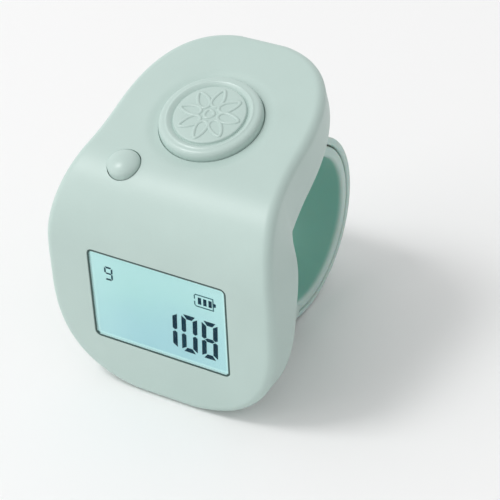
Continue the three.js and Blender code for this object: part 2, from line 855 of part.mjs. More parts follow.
// Room inside the cover for the display stack, the cell, the key board and the film
function coverHollows() {
  const clear = coverClearance;
  const frameHalf = glassWidth / 2 + frameGap + frameRim + clear;
  const frameUp = glassHeight / 2 + frameGap + frameLip + clear;
  const boardHalf = displayBoardWidth / 2 + clear;
  const boardHead = displayBoardFoot + displayBoardHeight;
  const canHalf = contactWidth / 2 + clear;
  const canHead = cellHeight + cellRadius + stackGap + contactThickness + clear;
  const filmHalf = filmHalfWidth + clear;
  const keyHead = keyBoardFront - keeperReach;
  const cellPocket = rod(cellRadius + cellClearance, displayBoardFront, cellBack + clear, roundSteps);
  return [
    box(-frameHalf, frameHalf, 0, backlightBack + clear, windowMiddle - frameUp, windowMiddle + frameUp),
    box(
      -boardHalf, boardHalf, 0, displayBoardBack + chipHeight + clear,
      displayBoardFoot - clear, boardHead + clear),
    cellPocket.rotateX(-Math.PI / 2).translate(0, 0, cellHeight),
    box(-canHalf, canHalf, 0, cellBack, cellHeight, canHead),
    box(
      filmAcross - filmHalf, filmAcross + filmHalf, 0, filmRoomBack,
      boardHead - filmLap - clear, boardHead + filmRoomHead),
    onTop(box(
      -keyBoardHalfWidth - clear, keyBoardHalfWidth + clear,
      keyHead, keyBoardTail + clear, -keyBoardDepth - keyBoardRoom - clear, 0)),
    onTop(box(
      -keyBoardWing - clear, keyBoardWing + clear,
      keyHead, keyBoardStep + clear, -keyBoardDepth - clear, 0)),
  ];
}

// Straps. A route is a list of middle points with the direction square to the band.

function strapRoute(radius, fromDegrees, leaveDegrees, sense) {
  const arc = sampled(fromDegrees, leaveDegrees, strapSteps, (angle) => {
    const point = ringPoint(angle, radius);
    const out = ringPoint(angle, 1).sub(new THREE.Vector2(holeBack, holeHeight));
    return { point, out };
  });
  const last = arc[arc.length - 1];
  const along = new THREE.Vector2(-last.out.y, last.out.x).multiplyScalar(sense);
  const root = sampled(rootLength / rootSteps, rootLength, rootSteps - 1, (length) => ({
    point: last.point.clone().addScaledVector(along, length),
    out: last.out,
  }));
  return [...arc, ...root];
}

// Section of a band: a rectangle with rounded corners, as pairs across and through the band
function bandSection(halfWidthAcross, thickness, corner) {
  const section = [];
  const half = thickness / 2;
  const steps = 2;
  for (const [signX, signY, quarter] of [[1, -1, -1], [1, 1, 0], [-1, 1, 1], [-1, -1, 2]]) {
    for (let i = 0; i <= steps; i += 1) {
      const angle = (Math.PI / 2) * (quarter + i / steps);
      section.push([
        signX * (halfWidthAcross - corner) + corner * Math.cos(angle),
        signY * (half - corner) + corner * Math.sin(angle),
      ]);
    }
  }
  return section;
}

function bandAlong(route, thicknessAt, corner, offsetAt, sense) {
  const rings = route.map(({ point, out }, i) => {
    const t = i / (route.length - 1);
    const thickness = thicknessAt(t);
    const section = bandSection(strapHalfWidth, thickness, Math.min(corner, thickness / 2 - bandFlat));
    const ring = section.map(([x, through]) => {
      const place = through + offsetAt(t);
      return new THREE.Vector3(x, point.x + out.x * place, point.y + out.y * place);
    });
    return sense < 0 ? ring : ring.reverse();
  });
  return loft(rings);
}

const innerMiddle = holeRadius + innerStrap / 2;
const outerMiddle = holeRadius + innerStrap + strapGap + outerStrap / 2;
const innerRoute = strapRoute(innerMiddle, innerEndDegrees, innerLeaveDegrees, -1);
const outerRoute = strapRoute(outerMiddle, outerEndDegrees, outerLeaveDegrees, 1);

function acrossRod(radius, halfLength, centre, sides = 20) {
  const geometry = new THREE.CylinderGeometry(radius, radius, 2 * halfLength, sides).rotateZ(Math.PI / 2);
  return geometry.translate(0, centre.x, centre.y);
}

function beadCentre(route) {
  return route[route.length - 1].point;
}

const lowerBead = beadCentre(innerRoute);
const upperBead = beadCentre(outerRoute);
const beadHalfWidth = strapHalfWidth - beadInset;
const pinHalfLength = strapHalfWidth + slotClearance + pinReach;

function ringTool(degrees, radius, r0, r1, sides = 16) {
  const angle = THREE.MathUtils.degToRad(degrees);
  const geometry = new THREE.CylinderGeometry(radius, radius, r1 - r0, sides).translate(0, (r0 + r1) / 2, 0);
  return geometry.rotateX(angle).translate(0, holeBack, holeHeight);
}

function innerStrapSolid() {
  const band = bandAlong(innerRoute, () => innerStrap, innerStrapCorner, () => 0, -1);
  const bead = acrossRod(beadRadius, beadHalfWidth, lowerBead);
  const eye = acrossRod(pinRadius + pinClearance, strapHalfWidth + cutPast, lowerBead, 16);
  const studs = [];
  for (let i = 0; i < studCount; i += 1) {
    const angle = -i * studPitchDegrees;
    const base = holeRadius + innerStrap - studRoot;
    const head = ringRadius + strapGap;
    studs.push(ringTool(angle, studRadius, base, head + seam));
    studs.push(ringTool(angle, studHeadRadius, head, head + studHeadHeight));
  }
  return cut(join(band, bead, ...studs), eye);
}

function outerStrapSolid() {
  const taper = (t) => THREE.MathUtils.smoothstep(t, 0, outerStrapTaper);
  const thickness = (t) => THREE.MathUtils.lerp(outerStrapTip, outerStrap, taper(t));
  const offset = (t) => (outerStrap - thickness(t)) / 2;
  const band = bandAlong(outerRoute, thickness, outerStrapCorner, offset, 1);
  const bead = acrossRod(beadRadius, beadHalfWidth, upperBead);
  const eye = acrossRod(pinRadius + pinClearance, strapHalfWidth + cutPast, upperBead, 16);
  const holes = [];
  for (let i = 0; i < strapHoles; i += 1) {
    const angle = (i - (strapHoles - 1) / 2) * studPitchDegrees;
    holes.push(ringTool(angle, studRadius + strapHoleClearance, innerMiddle, ringRadius + cutPast));
  }
  return cut(join(band, bead), eye, ...holes);
}

// Slot for a strap's root, the pocket for its bead and the sockets for its pin
function strapPocket(route, thickness) {
  const leave = route[route.length - rootSteps - 1];
  const bead = beadCentre(route);
  const along = bead.clone().sub(leave.point).normalize();
  const half = thickness / 2 + slotClearance;
  const outside = leave.point.clone().addScaledVector(along, -slotLead);
  const edge = (point, side) => [point.x + leave.out.x * side, point.y + leave.out.y * side];
  const slot = crossExtrusion([
    edge(outside, half),
    edge(outside, -half - slotLead ** 2 / (2 * holeRadius)),
    edge(leave.point, -half),
    edge(bead, -half),
    edge(bead, half),
  ], strapHalfWidth + slotClearance);
  const pocket = acrossRod(beadRadius + slotClearance, strapHalfWidth + slotClearance, bead);
  const socket = acrossRod(pinRadius + pinClearance, pinHalfLength + seam, bead, 16);
  return [slot, pocket, socket];
}

// Depth of the face that a screw head rests on
function screwSeat(s) {
  return wallDepth(s) - screwHeadHeight - seam;
}

// Points of the block's rear outline, moved into the block by the wall's thickness
function blockInside() {
  const rear = blockRear();
  const normals = rear.slice(1).map((point, i) => {
    const along = point.clone().sub(rear[i]).normalize();
    return new THREE.Vector2(-along.y, along.x);
  });
  return rear.map((point, i) => {
    const before = normals[Math.max(i - 1, 0)];
    const after = normals[Math.min(i, normals.length - 1)];
    const mitre = before.clone().add(after).divideScalar(1 + before.dot(after));
    return point.clone().addScaledVector(mitre, blockWall);
  });
}

// Material left round a strap's slot and bead inside the hollow block
function strapHousing(route, thickness) {
  const leave = route[route.length - rootSteps - 1];
  const bead = beadCentre(route);
  const outer = thickness / 2 + slotClearance + housingWall;
  const inner = -thickness / 2 - slotClearance - tipWall;
  const edge = (point, side) => [point.x + leave.out.x * side, point.y + leave.out.y * side];
  const corners = [edge(leave.point, outer), edge(leave.point, inner), edge(bead, inner), edge(bead, outer)];
  return [
    crossExtrusion(corners, blockHalfWidth),
    acrossRod(beadRadius + slotClearance + housingWall, blockHalfWidth, bead),
  ];
}

// Hollow that leaves the block with even walls, housings for the straps and a cup for the cell
function blockHollow() {
  const front = sampled(blockTail - blockWall, blockFoot + blockWall, 12, (s) => bent(0, s, 0));
  const outline = [
    ...blockInside().map((point) => point.toArray()),
    ...front.map((point) => [point.y, point.z]),
  ];
  const cup = rod(cellRadius + cellClearance + cupWall, 0, cellBack + coverClearance + cupWall, roundSteps);
  return cut(
    crossExtrusion(outline, blockHalfWidth - blockWall),
    cup.rotateX(-Math.PI / 2).translate(0, 0, cellHeight),
    ...strapHousing(innerRoute, innerStrap),
    ...strapHousing(outerRoute, outerStrap));
}

function backCover() {
  const plate = bentBody([
    { inset: rebateWall + seam, depth: (s) => wallDepth(s) - coverWall - seam },
    { inset: rebateWall + seam, depth: (s) => wallDepth(s) - seam - coverChamfer },
    { inset: rebateWall + seam + coverChamfer, depth: (s) => wallDepth(s) - seam },
  ]);
  const block = common(join(rearBlock(), displayPad()), ...outlineKeepers(sideWall + seam));
  const bores = screwPlaces.flatMap(([x, s]) => {
    return [
      placed(rod(screwRadius + seam, 0, wallDepth(s) + cutPast, 16), frameInto(x, s)),
      placed(rod(screwHeadRadius + seam, screwSeat(s), wallDepth(s) + bendDepth, 20), frameInto(x, s)),
    ];
  });
  return cut(
    join(plate, block),
    blockHollow(),
    ...coverHollows(),
    ...strapPocket(innerRoute, innerStrap),
    ...strapPocket(outerRoute, outerStrap),
    ...bores);
}

function coverScrew() {
  const head = screwHeadHeight - stackGap;
  const body = turned([
    [0, -screwLength],
    [screwRadius / 2, -screwLength],
    [screwRadius, -screwLength + screwPoint],
    [screwRadius, 0],
    [screwHeadRadius, 0],
    [screwHeadRadius, head * screwHeadTop],
    [screwHeadRadius * screwHeadTop, head],
    [0, head],
  ], 14);
  const blade = box(-screwRadius, screwRadius, -screwSlot / 2, screwSlot / 2, head / 2, head + cutPast);
  return cut(body, blade, blade.clone().rotateZ(Math.PI / 2));
}

function addScrews() {
  screwPlaces.forEach(([x, s], i) => {
    const screw = addPiece(`cover_screw_${i + 1}`, 'steel', coverScrew());
    const seat = new THREE.Matrix4().makeTranslation(0, 0, screwSeat(s) + screwLift);
    screw.applyMatrix4(frameInto(x, s).multiply(seat));
  });
}

addPiece('front_shell', 'shell', frontShell());
addPiece('back_cover', 'shell', backCover());
addDisplay();
addKeys();
addElectronics();
addPiece('inner_strap', 'strap', innerStrapSolid());
addPiece('outer_strap', 'strap', outerStrapSolid());
addPiece('lower_pin', 'steel', acrossRod(pinRadius, pinHalfLength, lowerBead, 16));
addPiece('upper_pin', 'steel', acrossRod(pinRadius, pinHalfLength, upperBead, 16));
addScrews();

counter.position.set(0, -overallDepth / 2, 0);
counter.updateMatrixWorld(true);

export default counter;
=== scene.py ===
"""Looks of a digital finger counter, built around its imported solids.

Sizes in the classes are millimetres in the head's own frame: X to the right of the display,
Y back from the display's face, Z up from the foot. part_point turns them into the metres and
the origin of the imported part.
"""
import logging
import math
from collections.abc import Callable, Iterator, Sequence
from contextlib import contextmanager
from dataclasses import dataclass, field
from enum import Enum
from typing import Any

import bmesh
import bpy
from mathutils import Matrix, Vector


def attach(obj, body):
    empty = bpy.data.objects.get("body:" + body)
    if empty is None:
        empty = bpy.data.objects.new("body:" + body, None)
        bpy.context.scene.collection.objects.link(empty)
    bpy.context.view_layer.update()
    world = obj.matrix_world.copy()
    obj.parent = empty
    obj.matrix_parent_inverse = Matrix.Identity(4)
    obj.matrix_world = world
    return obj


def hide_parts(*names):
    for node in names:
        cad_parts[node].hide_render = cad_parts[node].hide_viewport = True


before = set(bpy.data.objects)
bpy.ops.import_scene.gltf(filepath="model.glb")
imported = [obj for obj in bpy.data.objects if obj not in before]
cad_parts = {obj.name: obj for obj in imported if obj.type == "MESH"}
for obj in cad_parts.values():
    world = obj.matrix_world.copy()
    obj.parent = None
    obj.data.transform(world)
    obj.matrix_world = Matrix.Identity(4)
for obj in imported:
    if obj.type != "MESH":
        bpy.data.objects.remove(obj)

LOG = logging.getLogger("finger_counter")
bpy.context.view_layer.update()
MM = 0.001
HALF_DEPTH = 17.3
Piece = bpy.types.Object
Profile = Sequence[tuple[float, float]]


class Body(Enum):
    """Rigid bodies that the scene's own pieces ride on."""

    COUNTER = "counter"
    COUNT_BUTTON = "count_button"
    RESET_BUTTON = "reset_button"


class Slot(Enum):
    """Material slots that the scene's own pieces stand for."""

    SHELL = "shell_plastic"
    BUTTON = "button_plastic"
    STRAP = "strap_silicone"
    WINDOW = "window_clear"
    DISPLAY = "display_face"
    BLACK = "black_plastic"
    FASTENER = "fastener_steel"


def linear(red: int, green: int, blue: int) -> tuple[float, float, float, float]:
    """Turns a display colour into the linear colour that a shader takes.

    Args:
        red: Red from 0 to 255.
        green: Green from 0 to 255.
        blue: Blue from 0 to 255.

    Returns:
        The linear colour with an alpha of 1.
    """
    channels = []
    for value in (red, green, blue):
        share = value / 255
        channels.append(share / 12.92 if share <= 0.04045 else ((share + 0.055) / 1.055) ** 2.4)
    return (channels[0], channels[1], channels[2], 1.0)


def smoothstep(value: float, low: float, high: float) -> float:
    """Returns an eased share from 0 at low to 1 at high."""
    share = min(max((value - low) / (high - low), 0.0), 1.0)
    return share * share * (3 - 2 * share)


def quarter(steps: int) -> list[tuple[float, float]]:
    """Returns the sine and cosine of even steps up to a right angle, without the first at 0."""
    angles = [math.pi / 2 * step / steps for step in range(1, steps + 1)]
    return [(math.sin(angle), math.cos(angle)) for angle in angles]


# Shading


class Wire:
    """A shader value that takes part in arithmetic by adding Math nodes."""

    def __init__(self, tree: "Tree", socket: bpy.types.NodeSocket) -> None:
        """Wraps one output socket of a tree."""
        self.tree = tree
        self.socket = socket

    def _math(self, operation: str, first: Any, second: Any) -> "Wire":
        """Adds one Math node and returns its result."""
        node = self.tree.add("ShaderNodeMath", {"operation": operation}, {0: first, 1: second})
        return Wire(self.tree, node.outputs[0])

    def __add__(self, other: Any) -> "Wire":
        """Adds a value or another wire."""
        return self._math("ADD", self, other)

    __radd__ = __add__

    def __sub__(self, other: Any) -> "Wire":
        """Subtracts a value or another wire."""
        return self._math("SUBTRACT", self, other)

    def __rsub__(self, other: Any) -> "Wire":
        """Subtracts this wire from a value."""
        return self._math("SUBTRACT", other, self)

    def __mul__(self, other: Any) -> "Wire":
        """Multiplies by a value or another wire."""
        return self._math("MULTIPLY", self, other)

    __rmul__ = __mul__

    def abs(self) -> "Wire":
        """Returns the value without its sign."""
        return self._math("ABSOLUTE", self, 0.0)

    def over(self, low: float, high: float) -> "Wire":
        """Returns 0 below low, 1 above high and an eased value between them."""
        node = self.tree.add(
            "ShaderNodeMapRange",
            {"interpolation_type": "SMOOTHSTEP"},
            {"Value": self, "From Min": low, "From Max": high},
        )
        return Wire(self.tree, node.outputs[0])


def add_node(
    graph: bpy.types.NodeTree, kind: str, settings: dict[str, Any] | None = None,
    values: dict[Any, Any] | None = None
) -> bpy.types.Node:
    """Adds a node of any kind to a tree.

    Args:
        graph: The tree.
        kind: The node's type.
        settings: What is set on the node itself.
        values: Values, wires or output sockets for its input sockets, by name or number.

    Returns:
        The new node.
    """
    node = graph.nodes.new(kind)
    for key, value in (settings or {}).items():
        setattr(node, key, value)
    for key, value in (values or {}).items():
        source = value.socket if isinstance(value, Wire) else value
        if isinstance(source, bpy.types.NodeSocket):
            graph.links.new(source, node.inputs[key])
        else:
            node.inputs[key].default_value = source
    return node


class Tree:
    """One material's node tree with a Principled shader at its end."""

    def __init__(self, name: str, **uniform: Any) -> None:
        """Makes the material.

        Args:
            name: Name of the material.
            uniform: Values of the shader's sockets that are the same all over, with
                underscores for the spaces in their names.
        """
        self.material = bpy.data.materials.new(name)
        self.material.use_nodes = True
        self.graph = self.material.node_tree
        self.shader = self.graph.nodes["Principled BSDF"]
        for key, value in uniform.items():
            self.shader.inputs[key.replace("_", " ")].default_value = value
        coordinates = self.add("ShaderNodeTexCoord")
        self.position = Wire(self, coordinates.outputs["Object"])

    def add(
        self, kind: str, settings: dict[str, Any] | None = None,
        values: dict[Any, Any] | None = None
    ) -> bpy.types.Node:
        """Adds a node of any kind, as add_node does."""
        return add_node(self.graph, kind, settings, values)

    def noise(self, scale: float, detail: float = 2.0, roughness: float = 0.5) -> Wire:
        """Returns noise over the object.

        Args:
            scale: Cells to the metre.
            detail: Octaves of finer noise.
            roughness: Strength of the finer octaves.

        Returns:
            The noise, about 0.5 on average.
        """
        node = self.add(
            "ShaderNodeTexNoise",
            values={
                "Vector": self.position, "Scale": scale, "Detail": detail, "Roughness": roughness},
        )
        return Wire(self, node.outputs["Fac"])

    def axes(self) -> tuple[Wire, Wire, Wire]:
        """Returns the three coordinates of the object, in metres."""
        node = self.add("ShaderNodeSeparateXYZ", values={0: self.position})
        return tuple(Wire(self, node.outputs[index]) for index in range(3))

    def mixed(self, share: "Wire | float", first: Any, second: Any) -> Wire:
        """Mixes two colours.

        Args:
            share: Part of the second colour, from 0 to 1.
            first: Colour or wire at 0.
            second: Colour or wire at 1.

        Returns:
            The mixed colour.
        """
        node = self.add("ShaderNodeMix", {"data_type": "RGBA"}, {0: share, 6: first, 7: second})
        return Wire(self, node.outputs[2])

    def bump(self, height: Wire, strength: float, distance: float) -> None:
        """Feeds a bump of that height in metres into the shader's normal."""
        node = self.add(
            "ShaderNodeBump", values={"Height": height, "Strength": strength, "Distance": distance})
        self.feed("Normal", Wire(self, node.outputs[0]))

    def feed(self, socket: str, wire: Wire) -> None:
        """Links a wire to one socket of the shader."""
        self.graph.links.new(wire.socket, self.shader.inputs[socket])


@dataclass(frozen=True)
class MouldedPlastic:
    """Satin moulded plastic with a faint mould texture and a slightly uneven tint."""

    name: str
    tint: tuple[int, int, int]
    shade: tuple[int, int, int]
    gloss: float = 0.42
    grain: float = 0.05

    def material(self) -> bpy.types.Material:
        """Returns the finished material."""
        tree = Tree(self.name, IOR=1.49, Subsurface_Weight=0.0)
        clouds = tree.noise(160.0, 3.0)
        speckle = tree.noise(5200.0, 2.0)
        blend = (clouds * 0.75 + speckle * 0.25).over(0.3, 0.7)
        tree.feed("Base Color", tree.mixed(blend, linear(*self.tint), linear(*self.shade)))
        tree.feed("Roughness", self.gloss - 0.03 + speckle * 0.06)
        tree.bump(tree.noise(3200.0, 3.0, 0.6), self.grain, 0.00002)
        return tree.material


@dataclass(frozen=True)
class Silicone:
    """Soft matt silicone with a powdery, cloudy skin, and painted shade round the finger hole."""

    name: str = "strap_silicone"
    tint: tuple[int, int, int] = (190, 214, 208)
    shade: tuple[int, int, int] = (185, 210, 203)
    # Colour of the painted shade in the hollow of the finger hole.
    inside: tuple[int, int, int] = (128, 182, 168)
    hole_back: float = 22.5
    hole_height: float = 11.5
    hole_radius: float = 9.1
    hole_fade: float = 0.9
    inner_half: tuple[float, float] = (6.3, 7.05)

    def material(self) -> bpy.types.Material:
        """Returns the finished material."""
        tree = Tree(
            self.name, IOR=1.41, Subsurface_Weight=0.2, Subsurface_Scale=0.0012,
            Sheen_Weight=0.1, Sheen_Roughness=0.5)
        clouds = tree.noise(240.0, 3.0)
        outside = tree.mixed(clouds.over(0.3, 0.7), linear(*self.tint), linear(*self.shade))
        # Painted shade: the faces round the finger hole, away from the outer sides, take the darker,
        # greener colour.
        x, y, z = tree.axes()
        back = (y - (self.hole_back - HALF_DEPTH) * MM) * 1000.0
        up = (z - self.hole_height * MM) * 1000.0
        square = back * back + up * up
        edge = (self.hole_radius + self.hole_fade) ** 2
        inward = 1.0 - (x.abs() * 1000.0).over(*self.inner_half)
        painted_shade_share = (1.0 - square.over(self.hole_radius**2, edge)) * inward
        tree.feed("Base Color", tree.mixed(painted_shade_share, outside, linear(*self.inside)))
        dust = tree.noise(2600.0, 3.0, 0.6)
        tree.feed("Roughness", 0.5 + dust * 0.12)
        tree.bump(dust, 0.08, 0.00003)
        return tree.material


@dataclass(frozen=True)
class ClearPane:
    """Clear hard plastic pane with a faint haze."""

    name: str = "window_clear"
    cover: float = 0.003
    middle: float = 12.75
    half_width: float = 8.61
    half_height: float = 5.86
    highlight_band: float = 0.09

    def material(self) -> bpy.types.Material:
        """Returns the finished material, with a painted highlight of the polished edge along its border.
        """
        tree = Tree(self.name, IOR=1.49, Specular_IOR_Level=0.16)
        x, _, z = tree.axes()
        side = (x.abs() * 1000.0).over(self.half_width - self.highlight_band, self.half_width)
        end = ((z - self.middle * MM).abs() * 1000.0).over(
            self.half_height - self.highlight_band, self.half_height)
        # Pale, nearly opaque band along the border: painted highlight of the polished edge.
        edge = (side + end).over(0.0, 1.0)
        haze = tree.noise(300.0, 2.0)
        tree.feed("Base Color", tree.mixed(haze, linear(212, 240, 238), linear(206, 236, 235)))
        tree.feed("Roughness", 0.07 + haze * 0.05)
        tree.feed("Alpha", self.cover + haze * 0.01 + edge * 0.7)
        return tree.material


@dataclass(frozen=True)
class DisplayFace:
    """Liquid crystal face with a painted glow and a painted highlight along its edges, lighter towards
    the sides and top and bluer below.
    """

    name: str = "display_face"
    middle: float = 12.75
    half_width: float = 8.65
    half_height: float = 5.9
    painted_glow: float = 0.78
    # Share of near black in the base colour, so that the painted glow outweighs the shade that lamps
    # cast on the face.
    depth: float = 0.6

    def material(self) -> bpy.types.Material:
        """Returns the finished material."""
        # The face's emission is painted light that fills in the shade cast on it.
        tree = Tree(self.name, IOR=1.5, Roughness=0.25, Emission_Strength=self.painted_glow)
        x, _, z = tree.axes()
        across = x * (1 / (self.half_width * MM))
        up = (z - self.middle * MM) * (1 / (self.half_height * MM))
        green, blue = linear(152, 200, 198), linear(144, 190, 198)
        cloud = tree.noise(300.0, 2.0)
        share = (up * -0.5 + across * 0.15 + cloud * 0.4 + 0.3).over(0.1, 0.9)
        base = tree.mixed(share, green, blue)
        outward = across.abs().over(0.3, 1.0) * 0.35 + up.over(-0.3, 1.0) * 0.3
        lit = tree.mixed(outward + cloud * 0.2, base, linear(170, 212, 211))
        # Painted highlight along the edges of the face.
        highlight_side = across.abs().over(0.93, 0.985)
        highlight_end = up.abs().over(0.91, 0.98)
        painted_edge_highlight = (highlight_side + highlight_end).over(0.0, 1.0) * 0.7
        final = tree.mixed(painted_edge_highlight, lit, linear(184, 222, 220))
        tree.feed("Base Color", tree.mixed(self.depth, final, linear(4, 12, 12)))
        tree.feed("Emission Color", final)
        return tree.material


@dataclass(frozen=True)
class Ink:
    """Dark liquid crystal segments, a little uneven in depth."""

    name: str
    tint: tuple[int, int, int]
    shade: tuple[int, int, int]

    def material(self) -> bpy.types.Material:
        """Returns the finished material."""
        tree = Tree(self.name, Roughness=0.3, IOR=1.5, Specular_IOR_Level=0.1)
        cloud = tree.noise(900.0, 2.0)
        tree.feed("Base Color", tree.mixed(
            cloud.over(0.3, 0.7), linear(*self.tint), linear(*self.shade)))
        return tree.material


@dataclass(frozen=True)
class Metal:
    """Plated metal with fine brushing and handling marks."""

    name: str
    tint: tuple[int, int, int]
    shade: tuple[int, int, int]
    gloss: float = 0.28

    def material(self) -> bpy.types.Material:
        """Returns the finished material."""
        tree = Tree(self.name, Metallic=1.0)
        stretch = tree.add(
            "ShaderNodeMapping", {"vector_type": "POINT"},
            {"Vector": tree.position, "Scale": (1.0, 12.0, 1.0)})
        lines = tree.add(
            "ShaderNodeTexNoise",
            values={"Vector": Wire(tree, stretch.outputs[0]), "Scale": 2400.0, "Detail": 3.0})
        brushing = Wire(tree, lines.outputs["Fac"])
        spots = tree.noise(500.0, 3.0)
        tree.feed("Base Color", tree.mixed(
            spots.over(0.3, 0.75), linear(*self.tint), linear(*self.shade)))
        tree.feed("Roughness", self.gloss - 0.08 + brushing * 0.16)
        tree.bump(brushing, 0.1, 0.00001)
        return tree.material


@dataclass(frozen=True)
class Lacquer:
    """Green lacquered laminate with faint buried tracks."""

    name: str = "board_laminate"

    def material(self) -> bpy.types.Material:
        """Returns the finished material."""
        tree = Tree(self.name, IOR=1.5, Coat_Weight=0.3, Coat_Roughness=0.12)
        cells = tree.add(
            "ShaderNodeTexVoronoi", {"feature": "F1", "distance": "MANHATTAN"},
            {"Vector": tree.position, "Scale": 700.0, "Randomness": 0.6})
        tracks = Wire(tree, cells.outputs["Distance"]).over(0.32, 0.4)
        weave = tree.noise(1800.0, 2.0)
        copper, green = linear(34, 118, 78), linear(22, 88, 58)
        tree.feed("Base Color", tree.mixed(tracks * 0.6 + weave * 0.3, green, copper))
        tree.feed("Roughness", 0.3 + weave * 0.1)
        tree.bump(tracks, 0.25, 0.00003)
        return tree.material


@dataclass(frozen=True)
class AmberFilm:
    """Flexible circuit film with parallel tracks."""

    name: str = "amber_film"

    def material(self) -> bpy.types.Material:
        """Returns the finished material."""
        tree = Tree(self.name, IOR=1.6, Coat_Weight=0.2)
        x, _, _ = tree.axes()
        wave = tree.add("ShaderNodeMath", {"operation": "SINE"}, {0: x * 14000.0})
        tracks = Wire(tree, wave.outputs[0]).over(-0.2, 0.3)
        tree.feed("Base Color", tree.mixed(tracks, linear(190, 120, 40), linear(224, 164, 80)))
        tree.feed("Roughness", 0.3 + tracks * 0.1)
        return tree.material


@dataclass(frozen=True)
class ContactRubber:
    """Black rubber strip with fine conducting layers."""

    name: str = "black_rubber"

    def material(self) -> bpy.types.Material:
        """Returns the finished material."""
        tree = Tree(self.name, IOR=1.45)
        x, _, _ = tree.axes()
        wave = tree.add("ShaderNodeMath", {"operation": "SINE"}, {0: x * 30000.0})
        layers = Wire(tree, wave.outputs[0]).over(-0.5, 0.5)
        tree.feed("Base Color", tree.mixed(layers, linear(26, 26, 28), linear(62, 62, 66)))
        tree.feed("Roughness", 0.6 + layers * 0.15)
        return tree.material


def finished(finish: Any) -> Any:
    """Returns a dataclass field whose default is the material of a finish."""
    return field(default_factory=finish.material)


@dataclass
class Palette:
    """Every finish of the counter, made once."""

    shell: bpy.types.Material = finished(
        MouldedPlastic("shell_plastic", (186, 206, 200), (183, 203, 197), 0.40, 0.05))
    button: bpy.types.Material = finished(
        MouldedPlastic("button_plastic", (186, 206, 200), (183, 203, 197), 0.31, 0.04))
    strap: bpy.types.Material = finished(Silicone())
    window: bpy.types.Material = finished(ClearPane())
    display: bpy.types.Material = finished(DisplayFace())
    digits: bpy.types.Material = finished(Ink("segment_ink", (3, 50, 66), (2, 42, 60)))
    outline: bpy.types.Material = finished(Ink("outline_ink", (44, 92, 100), (38, 86, 94)))
    white: bpy.types.Material = finished(
        MouldedPlastic("white_plastic", (238, 240, 238), (232, 235, 233), 0.5))
    black: bpy.types.Material = finished(
        MouldedPlastic("black_plastic", (42, 43, 46), (34, 35, 38), 0.5, 0.1))
    # Dark seal colour: painted shade of the slit round the window pane.
    shade_seal: bpy.types.Material = finished(
        MouldedPlastic("painted_shade_seal", (58, 84, 80), (50, 76, 72), 0.6, 0.1))
    strip: bpy.types.Material = finished(ContactRubber())
    board: bpy.types.Material = finished(Lacquer())
    film: bpy.types.Material = finished(AmberFilm())
    cell: bpy.types.Material = finished(Metal("cell_steel", (206, 208, 210), (188, 190, 193)))
    contact: bpy.types.Material = finished(Metal("contact_brass", (216, 190, 126), (200, 172, 104)))
    fastener: bpy.types.Material = finished(
        Metal("fastener_steel", (200, 202, 204), (178, 180, 184), 0.32))


# Modelling tools


def alone(piece: Piece) -> None:
    """Selects one piece and nothing else, and makes it active."""
    bpy.ops.object.select_all(action="DESELECT")
    piece.select_set(True)
    bpy.context.view_layer.objects.active = piece


@contextmanager
def editing(piece: Piece, mode: str = "FACE") -> Iterator[None]:
    """Opens a piece in edit mode with everything selected.

    Args:
        piece: The piece to edit.
        mode: What is selected, VERT, EDGE or FACE.

    Yields:
        Nothing; the piece is in edit mode inside the block.
    """
    alone(piece)
    bpy.ops.object.mode_set(mode="EDIT")
    bpy.ops.mesh.select_mode(type=mode)
    bpy.ops.mesh.select_all(action="SELECT")
    try:
        yield
    finally:
        bpy.ops.object.mode_set(mode="OBJECT")


def settle(piece: Piece, matrix: Matrix | None = None) -> Piece:
    """Moves a piece by a matrix, and leaves its place in its mesh."""
    if matrix is not None:
        piece.matrix_world = matrix
    alone(piece)
    bpy.ops.object.transform_apply(location=True, rotation=True, scale=True)
    return piece


def modify(piece: Piece, kind: str, **settings: Any) -> None:
    """Adds one modifier and applies it.

    Args:
        piece: The piece to change.
        kind: The modifier's type.
        settings: Its settings.
    """
    modifier = piece.modifiers.new(kind.title(), kind)
    for key, value in settings.items():
        setattr(modifier, key, value)
    alone(piece)
    bpy.ops.object.modifier_apply(modifier=modifier.name)


def combine(piece: Piece, operation: str, *tools: Piece) -> Piece:
    """Joins tools to a piece or cuts them out of it, and removes the tools.

    Args:
        piece: The piece that stays.
        operation: UNION or DIFFERENCE.
        tools: Pieces that are used up.

    Returns:
        The changed piece.
    """
    for tool in tools:
        modify(piece, "BOOLEAN", operation=operation, object=tool, solver="EXACT")
        bpy.data.objects.remove(tool, do_unlink=True)
    return piece


def gather(piece: Piece, *others: Piece) -> Piece:
    """Joins other pieces to a piece as they are."""
    alone(piece)
    for other in others:
        other.select_set(True)
    bpy.ops.object.join()
    return piece


def clean(piece: Piece, distance: float = 1e-7) -> Piece:
    """Merges doubled points and turns every face outwards."""
    with editing(piece, "VERT"):
        bpy.ops.mesh.remove_doubles(threshold=distance)
        bpy.ops.mesh.normals_make_consistent(inside=False)
    return piece


def soften(piece: Piece, degrees: float = 32.0) -> Piece:
    """Shades a piece smooth except at edges sharper than the angle."""
    alone(piece)
    bpy.ops.object.shade_smooth_by_angle(angle=math.radians(degrees))
    return piece


def newest(name: str) -> Piece:
    """Names the piece that an operator has just added."""
    piece = bpy.context.active_object
    piece.name = name
    piece.data.name = name
    return piece


def added(name: str, operator: Callable[..., Any], **settings: Any) -> Piece:
    """Adds a primitive at the origin and names it.

    Args:
        name: Name of the piece.
        operator: The operator that adds it.
        settings: The operator's settings.

    Returns:
        The new piece.
    """
    bpy.ops.object.select_all(action="DESELECT")
    operator(location=(0, 0, 0), **settings)
    return newest(name)


